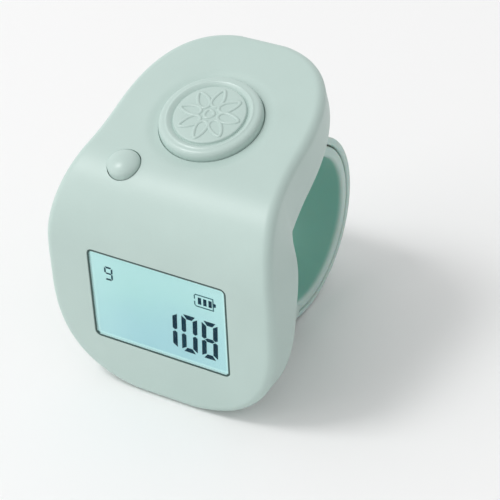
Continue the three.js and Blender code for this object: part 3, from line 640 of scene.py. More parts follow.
def turned(name: str, profile: Profile, sides: int = 96) -> Piece:
    """Turns a profile round Z by extruding a circle from point to point.

    Args:
        name: Name of the piece.
        profile: Pairs of radius and height in millimetres, from the bottom up. Only the last
            radius may be 0.
        sides: Number of sides.

    Returns:
        The closed piece in its own frame.
    """
    first, base = profile[0]
    piece = added(
        name, bpy.ops.mesh.primitive_circle_add, vertices=sides, radius=first * MM,
        fill_type="NGON")
    with editing(piece):
        bpy.ops.transform.translate(value=(0, 0, base * MM))
        radius, height = first, base
        for next_radius, next_height in profile[1:]:
            bpy.ops.mesh.extrude_region_move(
                TRANSFORM_OT_translate={"value": (0, 0, (next_height - height) * MM)})
            share = next_radius / radius
            bpy.ops.transform.resize(value=(share, share, 1), center_override=(0, 0, 0))
            radius, height = next_radius, next_height
    return clean(piece, 1e-8)


def rounded_plate(
    name: str, size: tuple[float, float], corner: float, layers: Profile, segments: int = 10
) -> Piece:
    """Builds a plate with rounded corners from layers that are each a little larger or smaller.

    Args:
        name: Name of the piece.
        size: Width and height in millimetres.
        corner: Radius of the corners.
        layers: Pairs of outward offset and level in millimetres, from the lowest level up.
        segments: Number of segments in each corner.

    Returns:
        The closed piece in its own frame, Z through the plate.
    """
    piece = added(name, bpy.ops.mesh.primitive_plane_add, size=1)
    spread = [(size[0] + 2 * offset, size[1] + 2 * offset) for offset, _ in layers]
    with editing(piece, "VERT"):
        bpy.ops.transform.resize(value=(spread[0][0] * MM, spread[0][1] * MM, 1))
        bpy.ops.transform.translate(value=(0, 0, layers[0][1] * MM))
        bpy.ops.mesh.bevel(
            affect="VERTICES", offset=(corner + layers[0][0]) * MM, segments=segments, profile=0.5)
        bpy.ops.mesh.select_mode(type="FACE")
        bpy.ops.mesh.select_all(action="SELECT")
        for index in range(1, len(layers)):
            rise = layers[index][1] - layers[index - 1][1]
            bpy.ops.mesh.extrude_region_move(TRANSFORM_OT_translate={"value": (0, 0, rise * MM)})
            scale = (
                spread[index][0] / spread[index - 1][0], spread[index][1] / spread[index - 1][1], 1)
            bpy.ops.transform.resize(value=scale, center_override=(0, 0, 0))
    return clean(piece, 1e-8)


def prism(name: str, corners: Sequence[Vector], thrust: Vector) -> Piece:
    """Pushes a flat polygon into a solid.

    Args:
        name: Name of the piece.
        corners: Corners of the polygon in millimetres.
        thrust: How far and which way it is pushed, in millimetres.

    Returns:
        The solid in its own frame.
    """
    piece = added(
        name, bpy.ops.mesh.primitive_circle_add, vertices=len(corners), radius=MM, fill_type="NGON")
    order = sorted(piece.data.vertices, key=lambda vertex: math.atan2(vertex.co.y, vertex.co.x))
    for vertex, corner in zip(order, corners):
        vertex.co = corner * MM
    with editing(piece):
        bpy.ops.mesh.extrude_region_move(TRANSFORM_OT_translate={"value": thrust * MM})
    return piece


def fit(piece: Piece, body: Body, slot: Slot, material: bpy.types.Material, *nodes: str) -> Piece:
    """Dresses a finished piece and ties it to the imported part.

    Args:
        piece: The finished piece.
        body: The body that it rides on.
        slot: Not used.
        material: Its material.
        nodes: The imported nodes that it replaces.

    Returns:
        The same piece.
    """
    piece.data.materials.clear()
    piece.data.materials.append(material)
    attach(piece, body.value)
    if nodes:
        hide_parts(*nodes)
    LOG.info("%s: %d faces, rides on %s", piece.name, len(piece.data.polygons), body.value)
    return piece


# The head's shape


@dataclass(frozen=True)
class HeadForm:
    """Outline of the head, drawn flat and then bent between its two legs."""

    front_length: float = 18.75
    bend_radius: float = 9.9
    bend_degrees: float = 72.3
    top_length: float = 19.99
    front_half_width: float = 14.5
    top_half_width: float = 11.95
    taper_start: float = 16.4
    taper_end: float = 36.2
    foot_corner: float = 13.6
    foot_power: float = 2.6
    tail_corner: float = 15.1
    tail_power: float = 2.62
    end_flat: float = 0.15
    foot_depth: float = 3.5
    bend_depth: float = 6.8
    tail_depth: float = 2.2

    @property
    def angle(self) -> float:
        """Returns the angle of the bend in radians."""
        return math.radians(self.bend_degrees)

    @property
    def slope_start(self) -> float:
        """Returns the station where the sloping leg starts."""
        return self.front_length + self.bend_radius * self.angle

    @property
    def length(self) -> float:
        """Returns the whole length of the flat outline."""
        return self.slope_start + self.top_length

    def fade(self, distance: float, corner: float, power: float) -> float:
        """Returns how far a rounded end narrows the head at a distance from it."""
        if distance >= corner:
            return 1.0
        left = 1 - (distance + self.end_flat) / (corner + self.end_flat)
        return (1 - left**power) ** (1 / power)

    def half_width(self, station: float) -> float:
        """Returns half the head's width at a station up from the foot."""
        share = smoothstep(station, self.taper_start, self.taper_end)
        width = self.front_half_width + (self.top_half_width - self.front_half_width) * share
        foot = self.fade(station, self.foot_corner, self.foot_power)
        return width * foot * self.fade(self.length - station, self.tail_corner, self.tail_power)

    def wall_depth(self, station: float) -> float:
        """Returns the depth of the side wall at a station."""
        middle = self.length / 2
        if station < middle:
            share = smoothstep(station, 0, middle)
            return self.foot_depth + (self.bend_depth - self.foot_depth) * share
        share = (station - middle) / (self.length - middle)
        return self.bend_depth - (self.bend_depth - self.tail_depth) * share**2

    def drawn_in(self, station: float, inset: float) -> tuple[float, float]:
        """Moves a point of the outline inwards.

        Args:
            station: Station of the point.
            inset: Distance to move it, square to the outline.

        Returns:
            The new half width and station.
        """
        step = 1e-3
        low, high = max(station - step, 0), min(station + step, self.length)
        slope = (self.half_width(high) - self.half_width(low)) / (high - low)
        size = math.hypot(1, slope)
        return self.half_width(station) - inset / size, station + inset * slope / size

    def face_at(self, station: float) -> tuple[float, float, float]:
        """Returns the turn of the face at a station, and its place back and up."""
        turn = min(max((station - self.front_length) / self.bend_radius, 0), self.angle)
        straight = min(station, self.front_length)
        beyond = max(station - self.slope_start, 0)
        back = self.bend_radius * (1 - math.cos(turn)) + beyond * math.sin(turn)
        up = straight + self.bend_radius * math.sin(turn) + beyond * math.cos(turn)
        return turn, back, up

    def point(self, across: float, station: float, depth: float) -> Vector:
        """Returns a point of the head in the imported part's metres.

        Args:
            across: Distance from the middle.
            station: Station up from the foot along the face.
            depth: Depth behind the face.

        Returns:
            The point.
        """
        turn, back, up = self.face_at(station)
        return part_point(across, back + depth * math.cos(turn), up - depth * math.sin(turn))

    def stations(self, count: int) -> list[float]:
        """Returns stations that are evenly spaced along the outline's edge."""
        fine = 4000
        places = [self.length * index / fine for index in range(fine + 1)]
        lengths = [0.0]
        for before, after in zip(places, places[1:]):
            change = self.half_width(after) - self.half_width(before)
            lengths.append(lengths[-1] + math.hypot(after - before, change))
        chosen, index = [], 0
        for number in range(count):
            wanted = lengths[-1] * number / (count - 1)
            while index < fine and lengths[index + 1] < wanted:
                index += 1
            chosen.append(places[min(index + 1, fine)] if number else 0.0)
        return chosen

    def slope_matrix(self, across: float, along: float) -> Matrix:
        """Returns the frame of the sloping face at a place, Z out of the face."""
        _, back, up = self.face_at(self.slope_start + along)
        tilt = math.pi / 2 - self.angle
        return Matrix.Translation(part_point(across, back, up)) @ Matrix.Rotation(tilt, 4, "X")


def part_point(across: float, back: float, up: float) -> Vector:
    """Turns millimetres of the head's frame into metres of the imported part."""
    return Vector((across, back - HALF_DEPTH, up)) * MM


def display_matrix(level: float) -> Matrix:
    """Returns the display's frame at a height up from the foot, Z out of the display."""
    columns = Matrix(((1, 0, 0), (0, 0, -1), (0, 1, 0))).to_4x4()
    return Matrix.Translation(part_point(0, 0, level)) @ columns


@dataclass
class HeadShell:
    """Bent front shell with its window, dish, button holes and rebate."""

    form: HeadForm = field(default_factory=HeadForm)
    columns: int = 96
    rows: int = 190
    edge: float = 1.0
    edge_steps: int = 8
    wall_steps: int = 6
    face_wall: float = 1.2
    side_wall: float = 1.5
    rebate_wall: float = 0.95
    ledge_drop: float = 1.1
    rim_round: float = 0.12
    dish_depth: float = 0.21
    dish_inner: float = 6.15
    dish_outer: float = 7.5
    count_along: float = 7.0
    count_hole: float = 6.0
    reset_place: tuple[float, float] = (-6.42, -1.7)
    reset_hole: float = 1.99
    window: tuple[float, float] = (17.7, 12.2)
    window_middle: float = 12.75
    window_corner: float = 0.72
    fillet: float = 0.06
    fillet_steps: int = 3
    cut_foot: float = -3.0
    cut_past: float = 1.5
    window_cut_past: float = 1.0
    reset_level: float = 0.9
    smooth_degrees: float = 28.0

    def dish(self, across: float, station: float) -> float:
        """Returns how deep the dish round the count button is at a place."""
        along = station - self.form.slope_start
        radius = math.hypot(across, along - self.count_along)
        return self.dish_depth * (1 - smoothstep(radius, self.dish_inner, self.dish_outer))

    def sheet(self, name: str, inset: float, depth: float) -> Piece:
        """Bends a flat grid into one face of the shell.

        Args:
            name: Name of the piece.
            inset: How far its outline is drawn in.
            depth: Its depth behind the face. The face itself, at 0, gets the dish.

        Returns:
            The sheet, with each point's share across and station kept as attributes.
        """
        piece = added(
            name, bpy.ops.mesh.primitive_grid_add, x_subdivisions=self.columns,
            y_subdivisions=self.rows, size=2)
        across = piece.data.attributes.new("across", "FLOAT", "POINT")
        station = piece.data.attributes.new("station", "FLOAT", "POINT")
        stations = self.form.stations(self.rows + 1)
        for index, vertex in enumerate(piece.data.vertices):
            share = vertex.co.x
            place = stations[round((vertex.co.y + 1) / 2 * self.rows)]
            across.data[index].value = share
            station.data[index].value = place
            half, moved = self.form.drawn_in(place, inset)
            drop = self.dish(share * half, moved) if depth == 0 else 0.0
            vertex.co = self.form.point(share * half, moved, depth + drop)
        return piece

    def grow(self, piece: Piece, layers: Sequence[tuple[float, Callable[[float], float]]]) -> None:
        """Extrudes a sheet's border through layers.

        Args:
            piece: The sheet.
            layers: Pairs of inset and a function that gives the depth at a station.
        """
        with editing(piece, "EDGE"):
            bpy.ops.mesh.select_all(action="DESELECT")
            bpy.ops.mesh.select_non_manifold(
                extend=False, use_wire=False, use_boundary=True, use_multi_face=False,
                use_non_contiguous=False, use_verts=False)
            for inset, depth in layers:
                bpy.ops.mesh.extrude_region_move(TRANSFORM_OT_translate={"value": (0, 0, 0)})
                mesh = bmesh.from_edit_mesh(piece.data)
                across = mesh.verts.layers.float["across"]
                station = mesh.verts.layers.float["station"]
                for vertex in mesh.verts:
                    if vertex.select:
                        place = vertex[station]
                        half, moved = self.form.drawn_in(place, inset)
                        vertex.co = self.form.point(vertex[across] * half, moved, depth(place))
                bmesh.update_edit_mesh(piece.data)

    def edge_layers(self) -> list[tuple[float, Callable[[float], float]]]:
        """Returns the layers from the face's edge round to the inside of the wall."""
        depth = self.form.wall_depth
        layers: list[tuple[float, Callable[[float], float]]] = []
        for sine, cosine in quarter(self.edge_steps):
            sunk = self.edge * (1 - cosine)
            layers.append((self.edge * (1 - sine), lambda place, sunk=sunk: sunk))
        for step in range(1, self.wall_steps + 1):
            share = step / self.wall_steps
            layers.append((0.0, lambda place, share=share: self.edge + (
                depth(place) - self.rim_round - self.edge) * share))
        for sine, cosine in quarter(self.fillet_steps):
            back = self.rim_round * (1 - sine)
            layers.append((
                self.rim_round * (1 - cosine), lambda place, back=back: depth(place) - back))
        return layers + [
            (self.rebate_wall - self.rim_round / 2, depth),
            (self.rebate_wall, lambda place: depth(place) - self.rim_round / 2),
            (self.rebate_wall, lambda place: depth(place) - self.ledge_drop),
            (self.side_wall, lambda place: depth(place) - self.ledge_drop),
            (self.side_wall, lambda place: (depth(place) + self.face_wall) / 2),
            (self.side_wall, lambda place: self.face_wall)]

    def round_hole(self, name: str, radius: float, level: float, matrix: Matrix) -> Piece:
        """Returns a cutter for a round hole with a softened edge at a level of the face."""
        flare = self.fillet
        profile = [(radius, self.cut_foot), (radius, level - flare)]
        profile += [
            (radius + flare * (1 - cosine), level - flare + flare * sine)
            for sine, cosine in quarter(self.fillet_steps)]
        profile.append((radius + flare, level + self.cut_past))
        return settle(turned(name, profile), matrix)

    def window_hole(self) -> Piece:
        """Returns a cutter for the window with a softened edge."""
        flare = self.fillet
        layers = [(0.0, self.cut_foot), (0.0, -flare)]
        layers += [
            (flare * (1 - cosine), -flare + flare * sine)
            for sine, cosine in quarter(self.fillet_steps)]
        layers.append((flare, self.window_cut_past))
        cutter = rounded_plate("window_cutter", self.window, self.window_corner, layers)
        return settle(cutter, display_matrix(self.window_middle))

    def build(self, palette: Palette) -> None:
        """Builds, cuts and dresses the shell."""
        shell = self.sheet("front_shell_moulding", self.edge, 0.0)
        self.grow(shell, self.edge_layers())
        ceiling = self.sheet("ceiling", self.side_wall, self.face_wall)
        clean(gather(shell, ceiling), 2e-7)
        form = self.form
        combine(
            shell, "DIFFERENCE", self.window_hole(),
            self.round_hole(
                "count_cutter", self.count_hole, -self.dish_depth,
                form.slope_matrix(0, self.count_along)),
            self.round_hole(
                "reset_cutter", self.reset_hole, self.reset_level,
                form.slope_matrix(*self.reset_place)))
        soften(shell, self.smooth_degrees)
        fit(shell, Body.COUNTER, Slot.SHELL, palette.shell, "front_shell")


@dataclass
class BackCover:
    """Rear cover and finger cradle, with its moulded edges broken."""

    edge: float = 0.14
    segments: int = 3
    sharp_degrees: float = 38.0
    web_half: float = 8.28
    web_edge: float = 0.1
    web_sharp_degrees: float = 60.0
    merge_distance: float = 1e-6
    flat_degrees: float = 0.6
    web_rear: Profile = (
        (7.58, 7.7), (7.9, 7.4), (8.3, 7.0), (8.7, 6.61), (9.1, 6.26), (9.55, 5.92), (10.0, 5.65),
        (10.5, 5.43), (11.0, 5.27), (11.5, 5.13), (12.0, 4.99), (12.5, 4.82), (13.0, 4.62), (13.5, 4.41),
        (14.0, 4.18), (14.5, 3.93))
    web_front: Profile = (
        (8.2, 6.75), (9.0, 5.95), (9.9, 5.25), (10.9, 4.86), (11.95, 4.84), (12.4, 4.3), (14.2, 3.7))

    def web(self) -> Piece:
        """Returns the wall that closes the corner between the cover plate and the cradle block.

        Its profiles are pairs of the distance up the sloping leg and the depth below its face.
        """
        corners = [
            Vector((-self.web_half, along, -depth))
            for along, depth in (*self.web_rear, *reversed(self.web_front))]
        piece = prism("corner_web", corners, Vector((2 * self.web_half, 0, 0)))
        clean(settle(piece, HeadForm().slope_matrix(0, 0)))
        modify(
            piece, "BEVEL", width=self.web_edge * MM, segments=2, limit_method="ANGLE",
            angle_limit=math.radians(self.web_sharp_degrees))
        return piece

    def build(self, palette: Palette) -> None:
        """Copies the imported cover, rounds its edges and dresses it."""
        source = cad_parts["back_cover"]
        cover = bpy.data.objects.new("back_cover_moulding", source.data.copy())
        bpy.context.scene.collection.objects.link(cover)
        with editing(cover, "VERT"):
            bpy.ops.mesh.remove_doubles(threshold=self.merge_distance)
            bpy.ops.mesh.dissolve_limited(angle_limit=math.radians(self.flat_degrees))
        modify(
            cover, "BEVEL", width=self.edge * MM, segments=self.segments, limit_method="ANGLE",
            angle_limit=math.radians(self.sharp_degrees), use_clamp_overlap=True)
        gather(cover, self.web())
        soften(cover, 30)
        fit(cover, Body.COUNTER, Slot.SHELL, palette.shell, "back_cover")


@dataclass
class Buttons:
    """Large count button with its ornament, and small domed reset button."""

    form: HeadForm = field(default_factory=HeadForm)
    count_along: float = 7.0
    count_radius: float = 5.95
    count_rise: float = 0.92
    reset_place: tuple[float, float] = (-6.42, -1.7)
    reset_radius: float = 1.9
    reset_rise: float = 0.98
    flange_top: float = -1.35
    flange_bottom: float = -1.9
    hub_bottom: float = -2.15
    reset_bottom: float = -2.05
    reset_reach: float = 0.45
    reset_steps: int = 14
    hub_radius: float = 1.5
    rim_wall: float = 1.1
    flange_reach: float = 0.75
    petals: int = 8
    petal_place: float = 2.35
    petal_size: tuple[float, float] = (1.25, 0.62)
    petal_pinch: float = 0.35
    eye_size: tuple[float, float] = (0.55, 0.55)
    cord: float = 0.24
    cord_height: float = 0.8
    disc_drop: float = 0.13

    def count_profile(self) -> list[tuple[float, float]]:
        """Returns the count button's profile, flange first."""
        radius, rise, hub = self.count_radius, self.count_rise, self.hub_radius
        shank, flange = radius - self.rim_wall, radius + self.flange_reach
        profile = [
            (hub, self.hub_bottom), (hub, self.flange_top), (shank, self.flange_top),
            (shank, self.flange_bottom), (flange, self.flange_bottom),
            (flange, self.flange_top), (radius, self.flange_top), (radius, -0.1)]
        shoulder = [
            (5.93, 1.04), (5.92, 0.82), (5.885, 0.62), (5.82, 0.43), (5.73, 0.29), (5.62, 0.195),
            (5.5, 0.13), (5.36, 0.095), (5.22, 0.08), (5.1, 0.07), (5.03, 0.055), (4.97, 0.03),
            (4.92, 0.008), (4.87, 0.0)]
        groove = [
            (4.81, 0.015), (4.7, 0.065), (4.6, 0.12), (4.5, 0.18), (4.42, 0.235), (4.35, 0.29),
            (4.29, 0.34), (4.24, 0.36), (4.2, 0.33), (4.165, 0.24), (4.13, 0.15), (4.08, 0.085),
            (4.0, 0.065)]
        crown = [(3.0, 0.06), (1.5, 0.045), (0.0, 0.04)]
        return profile + [(place, rise - drop) for place, drop in shoulder + groove + crown]

    def petal(self, name: str, radius: float, size: tuple[float, float], turn: float) -> Piece:
        """Returns one raised loop of the ornament, lying flat.

        Args:
            name: Name of the piece.
            radius: Distance of its middle from the button's axis.
            size: Half its length, outwards, and half its width.
            turn: Its direction round the axis, in radians.

        Returns:
            The loop in the button's frame.
        """
        loop = added(
            name, bpy.ops.mesh.primitive_torus_add, major_segments=40, minor_segments=12,
            major_radius=MM, minor_radius=self.cord * MM)
        for vertex in loop.data.vertices:
            flat = math.hypot(vertex.co.x, vertex.co.y)
            thick = flat - MM
            angle = math.atan2(vertex.co.y, vertex.co.x)
            pinch = 1 - self.petal_pinch * math.cos(angle)
            along = (size[0] * MM + thick) * math.cos(angle)
            across = (size[1] * MM * pinch + thick) * math.sin(angle)
            vertex.co = Vector((along + radius * MM, across, vertex.co.z * self.cord_height))
        top = self.count_rise - self.disc_drop
        return settle(loop, Matrix.Rotation(turn, 4, "Z") @ Matrix.Translation((0, 0, top * MM)))

    def ornament(self) -> list[Piece]:
        """Returns the loops of the ornament, modelled once and turned round the axis."""
        step = 2 * math.pi / self.petals
        loops = [
            self.petal(f"petal_{index}", self.petal_place, self.petal_size, step * index)
            for index in range(self.petals)]
        return [*loops, self.petal("ornament_eye", 0.0, self.eye_size, 0.0)]

    def build(self, palette: Palette) -> None:
        """Builds and dresses both buttons."""
        matrix = self.form.slope_matrix(0, self.count_along)
        button = turned("count_button_cap", self.count_profile(), 160)
        gather(button, *self.ornament())
        settle(button, matrix)
        soften(button, 40)
        fit(button, Body.COUNT_BUTTON, Slot.BUTTON, palette.button, "count_button")

        radius, skirt = self.reset_radius, self.reset_radius + self.reset_reach
        profile = [
            (skirt, self.reset_bottom), (skirt, self.flange_top), (radius, self.flange_top),
            (radius, 0.0)]
        profile += [
            (radius * cosine, self.reset_rise * sine)
            for sine, cosine in quarter(self.reset_steps)[:-1]]
        profile.append((0.0, self.reset_rise))
        dome = settle(
            turned("reset_button_dome", profile, 72), self.form.slope_matrix(*self.reset_place))
        soften(dome, 40)
        fit(dome, Body.RESET_BUTTON, Slot.BUTTON, palette.button, "reset_button")


@dataclass
class Display:
    """Window pane, display glass and the marks between them."""

    middle: float = 12.75
    window: tuple[float, float] = (17.7, 12.2)
    gap: float = 0.24
    corner: float = 0.48
    panel_gap: float = 0.08
    shade_seal_front: float = 0.05
    pane_front: float = 0.08
    pane_back: float = 0.28
    glass_front: float = 0.31
    rear_front: float = 1.25
    rear_back: float = 2.05
    rear_size: tuple[float, float] = (18.2, 12.7)
    mark_thickness: float = 0.03
    mark_lift: float = 0.01
    slant: float = 0.041

    def plate(self, name: str, gap: float, front: float, back: float, chamfer: float) -> Piece:
        """Returns a plate inside the window, a gap from its edge and between two depths."""
        width, height = (side - 2 * gap for side in self.window)
        layers = [
            (-chamfer, -back), (0.0, -back + chamfer), (0.0, -front - chamfer), (-chamfer, -front)]
        piece = rounded_plate(name, (width, height), self.corner + self.gap - gap, layers)
        return settle(piece, display_matrix(self.middle))

    def shade_seal(self) -> Piece:
        """Returns the thin dark seal that fills the slit round the pane, its dark colour painted shade
        of the slit.
        """
        width, height = self.window
        slit = self.gap - 0.01
        outer = rounded_plate(
            "pane_shade_seal", (width - 0.02, height - 0.02), self.corner + slit,
            [(0.0, -self.pane_back), (0.0, -self.shade_seal_front - 0.03), (-0.03, -self.shade_seal_front)])
        inner = rounded_plate(
            "shade_seal_cutter", (width - 2 * slit, height - 2 * slit), self.corner,
            [(0.0, -2.0), (0.0, 0.5)])
        return settle(combine(outer, "DIFFERENCE", inner), display_matrix(self.middle))

    def mark(self, corners: Sequence[tuple[float, float]]) -> Piece:
        """Returns one flat mark of the display.

        Args:
            corners: Its corners, across and up from the foot, anticlockwise.

        Returns:
            The mark, as thick as the ink layer.
        """
        flat = [Vector((across, up - self.middle, 0)) for across, up in corners]
        piece = prism("mark", flat, Vector((0, 0, self.mark_thickness)))
        level = self.mark_lift - self.glass_front
        return settle(piece, display_matrix(self.middle) @ Matrix.Translation((0, 0, level * MM)))

    def segments(
        self, left: float, foot: float, width: float, height: float, thick: float, names: str
    ) -> list[Piece]:
        """Returns the lit segments of one seven-segment figure.

        Args:
            left: Its left edge at the foot.
            foot: Its foot.
            width: Its width.
            height: Its height.
            thick: Thickness of its strokes.
            names: Letters of the lit segments, a at the top and on round, g in the middle.

        Returns:
            One mark for each segment.
        """
        gap = max(thick * 0.17, 0.07)
        half = height / 2
        inner, outer = width - thick, height - thick
        cut = thick * 0.3
        shapes = {
            "a": [(gap + cut, height), (thick + gap, outer), (inner - gap, outer),
                  (width - gap - cut, height)],
            "b": [(width, height - gap - cut), (inner, outer - gap), (inner, half + thick * 0.5),
                  (width - thick * 0.5, half + gap), (width, half + thick * 0.5)],
            "c": [(width, half - thick * 0.5), (width - thick * 0.5, half - gap),
                  (inner, half - thick * 0.5), (inner, thick + gap), (width, gap + cut)],
            "d": [(gap + cut, 0), (width - gap - cut, 0), (inner - gap, thick),
                  (thick + gap, thick)],
            "e": [(0, gap + cut), (thick, thick + gap), (thick, half - thick * 0.5),
                  (thick * 0.5, half - gap), (0, half - thick * 0.5)],
            "f": [(0, half + thick * 0.5), (thick * 0.5, half + gap), (thick, half + thick * 0.5),
                  (thick, outer - gap), (0, height - gap - cut)],
            "g": [(thick * 0.7, half), (thick + gap, half - thick * 0.42),
                  (inner - gap, half - thick * 0.42), (width - thick * 0.7, half),
                  (inner - gap, half + thick * 0.42), (thick + gap, half + thick * 0.42)],
        }
        return [
            self.mark([(left + x + y * self.slant, foot + y) for x, y in shapes[name]])
            for name in names]

    def battery(self) -> tuple[list[Piece], list[Piece]]:
        """Returns the dark and the pale marks of the battery sign."""
        low, high, left, right, line = 15.22, 16.92, 4.66, 7.1, 0.12
        dark = []
        for index in range(3):
            start = left + 0.48 + 0.66 * index
            dark.append(self.mark([
                (start, low + 0.4), (start + 0.4, low + 0.4), (start + 0.42, high - 0.4),
                (start + 0.02, high - 0.4)]))
        tip = (low + high) / 2
        dark.append(self.mark([
            (right + 0.02, tip - 0.26), (right + 0.27, tip - 0.2), (right + 0.27, tip + 0.2),
            (right + 0.02, tip + 0.26)]))
        bars = [
            (left + 0.2, low, right, low + line), (left + 0.2, high - line, right, high),
            (right - line, low + line, right, high - line),
            (left, low + 0.22, left + line, tip - 0.16),
            (left, tip + 0.16, left + line, high - 0.22)]
        pale = [self.mark([(x0, y0), (x1, y0), (x1, y1), (x0, y1)]) for x0, y0, x1, y1 in bars]
        pale.append(self.mark([(left, low + 0.22), (left + 0.2, low), (left + 0.2, low + line),
                               (left + line, low + 0.24)]))
        pale.append(self.mark([(left, high - 0.22), (left + line, high - 0.24),
                               (left + 0.2, high - line), (left + 0.2, high)]))
        return dark, pale

    def group(self, name: str, marks: Sequence[Piece]) -> Piece:
        """Joins marks into one piece."""
        gather(*marks)
        return clean(newest(name), 1e-9)

    def build(self, palette: Palette) -> None:
        """Builds and dresses the display."""
        pane = self.plate("window_pane", self.gap, self.pane_front, self.pane_back, 0.02)
        soften(pane, 30)
        fit(pane, Body.COUNTER, Slot.WINDOW, palette.window, "window_lens")
        fit(soften(self.shade_seal(), 30), Body.COUNTER, Slot.BLACK, palette.shade_seal)
        rear = rounded_plate(
            "rear_glass", self.rear_size, 0.3, [(0.0, -self.rear_back), (0.0, -self.rear_front)])
        settle(rear, display_matrix(self.middle))
        panel = self.plate(
            "display_panel", self.panel_gap, self.glass_front, self.rear_front + 0.1, 0.03)
        soften(combine(panel, "UNION", rear), 30)
        fit(panel, Body.COUNTER, Slot.DISPLAY, palette.display, "display_glass")

        figures = []
        for index, names in enumerate(("bc", "abcdef", "abcdefg")):
            figures += self.segments(0.07 + 2.58 * index, 8.27, 2.0, 5.24, 0.57, names)
        figures += self.segments(-6.94, 15.03, 1.08, 1.82, 0.2, "abcdfg")
        dark, pale = self.battery()
        digits = self.group("display_figures", figures + dark)
        fit(digits, Body.COUNTER, Slot.BLACK, palette.digits)
        outline = self.group("battery_outline", pale)
        fit(outline, Body.COUNTER, Slot.BLACK, palette.outline)


class Winding(Enum):
    """Which way a strap runs from its tip to its root, seen from +X."""

    RISING = 1
    FALLING = -1


@dataclass
class Strap:
    """One soft strap of the finger ring."""

    name: str
    node: str
    middle_radius: float
    thickness: float
    corner: float
    tip_degrees: float
    leave_degrees: float
    winding: Winding
    tip_thickness: float = 0.0
    half_width: float = 7.0
    root_length: float = 5.4
    bead_radius: float = 1.5
    bead_inset: float = 0.25
    eye_radius: float = 0.56
    eye_past: float = 1.0
    thin_share: float = 0.6
    thin_end: float = 0.62
    hole_back: float = 22.5
    hole_height: float = 11.5
    steps: int = 120

    def radial(self, degrees: float) -> Vector:
        """Returns the direction out from the ring's axis at an angle."""
        angle = math.radians(degrees)
        return Vector((0, math.cos(angle), math.sin(angle)))

    @property
    def centre(self) -> Vector:
        """Returns the middle of the ring in the part's metres."""
        return part_point(0, self.hole_back, self.hole_height)

    def at(self, degrees: float, radius: float) -> Vector:
        """Returns a place of the ring's middle plane in the part's metres."""
        return self.centre + self.radial(degrees) * radius * MM

    def tangent(self, degrees: float) -> Vector:
        """Returns the direction in which the strap runs at an angle."""
        out = self.radial(degrees)
        return Vector((0, -out.z, out.y)) * self.winding.value

    def bead_place(self) -> Vector:
        """Returns the middle of the bead at the strap's root."""
        leave = self.leave_degrees
        return self.at(leave, self.middle_radius) + self.tangent(leave) * self.root_length * MM

    def band(self) -> Piece:
        """Spins the strap's section round the finger and draws its root out straight."""
        band = added(self.name, bpy.ops.mesh.primitive_plane_add, size=1)
        with editing(band, "VERT"):
            bpy.ops.transform.resize(value=(2 * self.half_width * MM, self.thickness * MM, 1))
            bpy.ops.mesh.bevel(
                affect="VERTICES", offset=self.corner * MM, segments=7, profile=0.5)
        out = self.radial(self.tip_degrees)
        columns = Matrix(((1, 0, 0), (0, out.y, -out.z), (0, out.z, out.y))).to_4x4()
        settle(band, Matrix.Translation(self.at(self.tip_degrees, self.middle_radius)) @ columns)
        turn = math.radians(self.tip_degrees - self.leave_degrees)
        with editing(band):
            bpy.ops.mesh.spin(
                steps=self.steps, angle=turn, center=self.centre, axis=(1, 0, 0),
                use_auto_merge=False)
            bpy.ops.mesh.extrude_region_move(TRANSFORM_OT_translate={
                "value": self.tangent(self.leave_degrees) * self.root_length * MM})
            bpy.ops.mesh.select_all(action="SELECT")
            bpy.ops.mesh.fill_holes(sides=0)
        self.thin_tip(band)
        return clean(band, 1e-8)

    def thin_tip(self, band: Piece) -> None:
        """Thins the strap towards its tip, keeping its inner face where it is."""
        if not self.tip_thickness:
            return
        centre = self.centre
        inner = (self.middle_radius - self.thickness / 2) * MM
        span = math.radians(self.leave_degrees - self.tip_degrees)
        for vertex in band.data.vertices:
            offset = vertex.co - centre
            radius = math.hypot(offset.y, offset.z)
            angle = math.atan2(offset.z, offset.y) - math.radians(self.tip_degrees)
            share = (angle % (2 * math.pi)) / span
            if share > self.thin_end or radius > inner + 2 * self.thickness * MM:
                continue
            grown = smoothstep(share, 0, self.thin_share)
            thick = self.tip_thickness + (self.thickness - self.tip_thickness) * grown
            wanted = inner + (radius - inner) * thick / self.thickness
            vertex.co.y = centre.y + offset.y * wanted / radius
            vertex.co.z = centre.z + offset.z * wanted / radius

    def across_rod(self, name: str, radius: float, half_length: float, place: Vector) -> Piece:
        """Returns a round bar that runs along X, with broken ends."""
        ease = radius * 0.15
        profile = [
            (radius - ease, -half_length), (radius, -half_length + ease),
            (radius, half_length - ease), (radius - ease, half_length)]
        matrix = Matrix.Translation(place) @ Matrix.Rotation(math.pi / 2, 4, "Y")
        return settle(turned(name, profile, 40), matrix)

    def radial_tool(self, name: str, degrees: float, profile: Profile) -> Piece:
        """Returns a turned piece that stands out from the ring's axis at an angle."""
        turn = math.radians(degrees) - math.pi / 2
        matrix = Matrix.Translation(self.centre) @ Matrix.Rotation(turn, 4, "X")
        return settle(turned(name, profile, 32), matrix)

    def details(self, band: Piece) -> None:
        """Adds what is particular to one strap."""

    def build(self, palette: Palette) -> None:
        """Builds and dresses the strap."""
        band = self.band()
        bead = self.across_rod(
            "bead", self.bead_radius, self.half_width - self.bead_inset, self.bead_place())
        combine(band, "UNION", bead)
        eye = self.across_rod(
            "eye", self.eye_radius, self.half_width + self.eye_past, self.bead_place())
        combine(band, "DIFFERENCE", eye)
        self.details(band)
        soften(band, 35)
        fit(band, Body.COUNTER, Slot.STRAP, palette.strap, self.node)


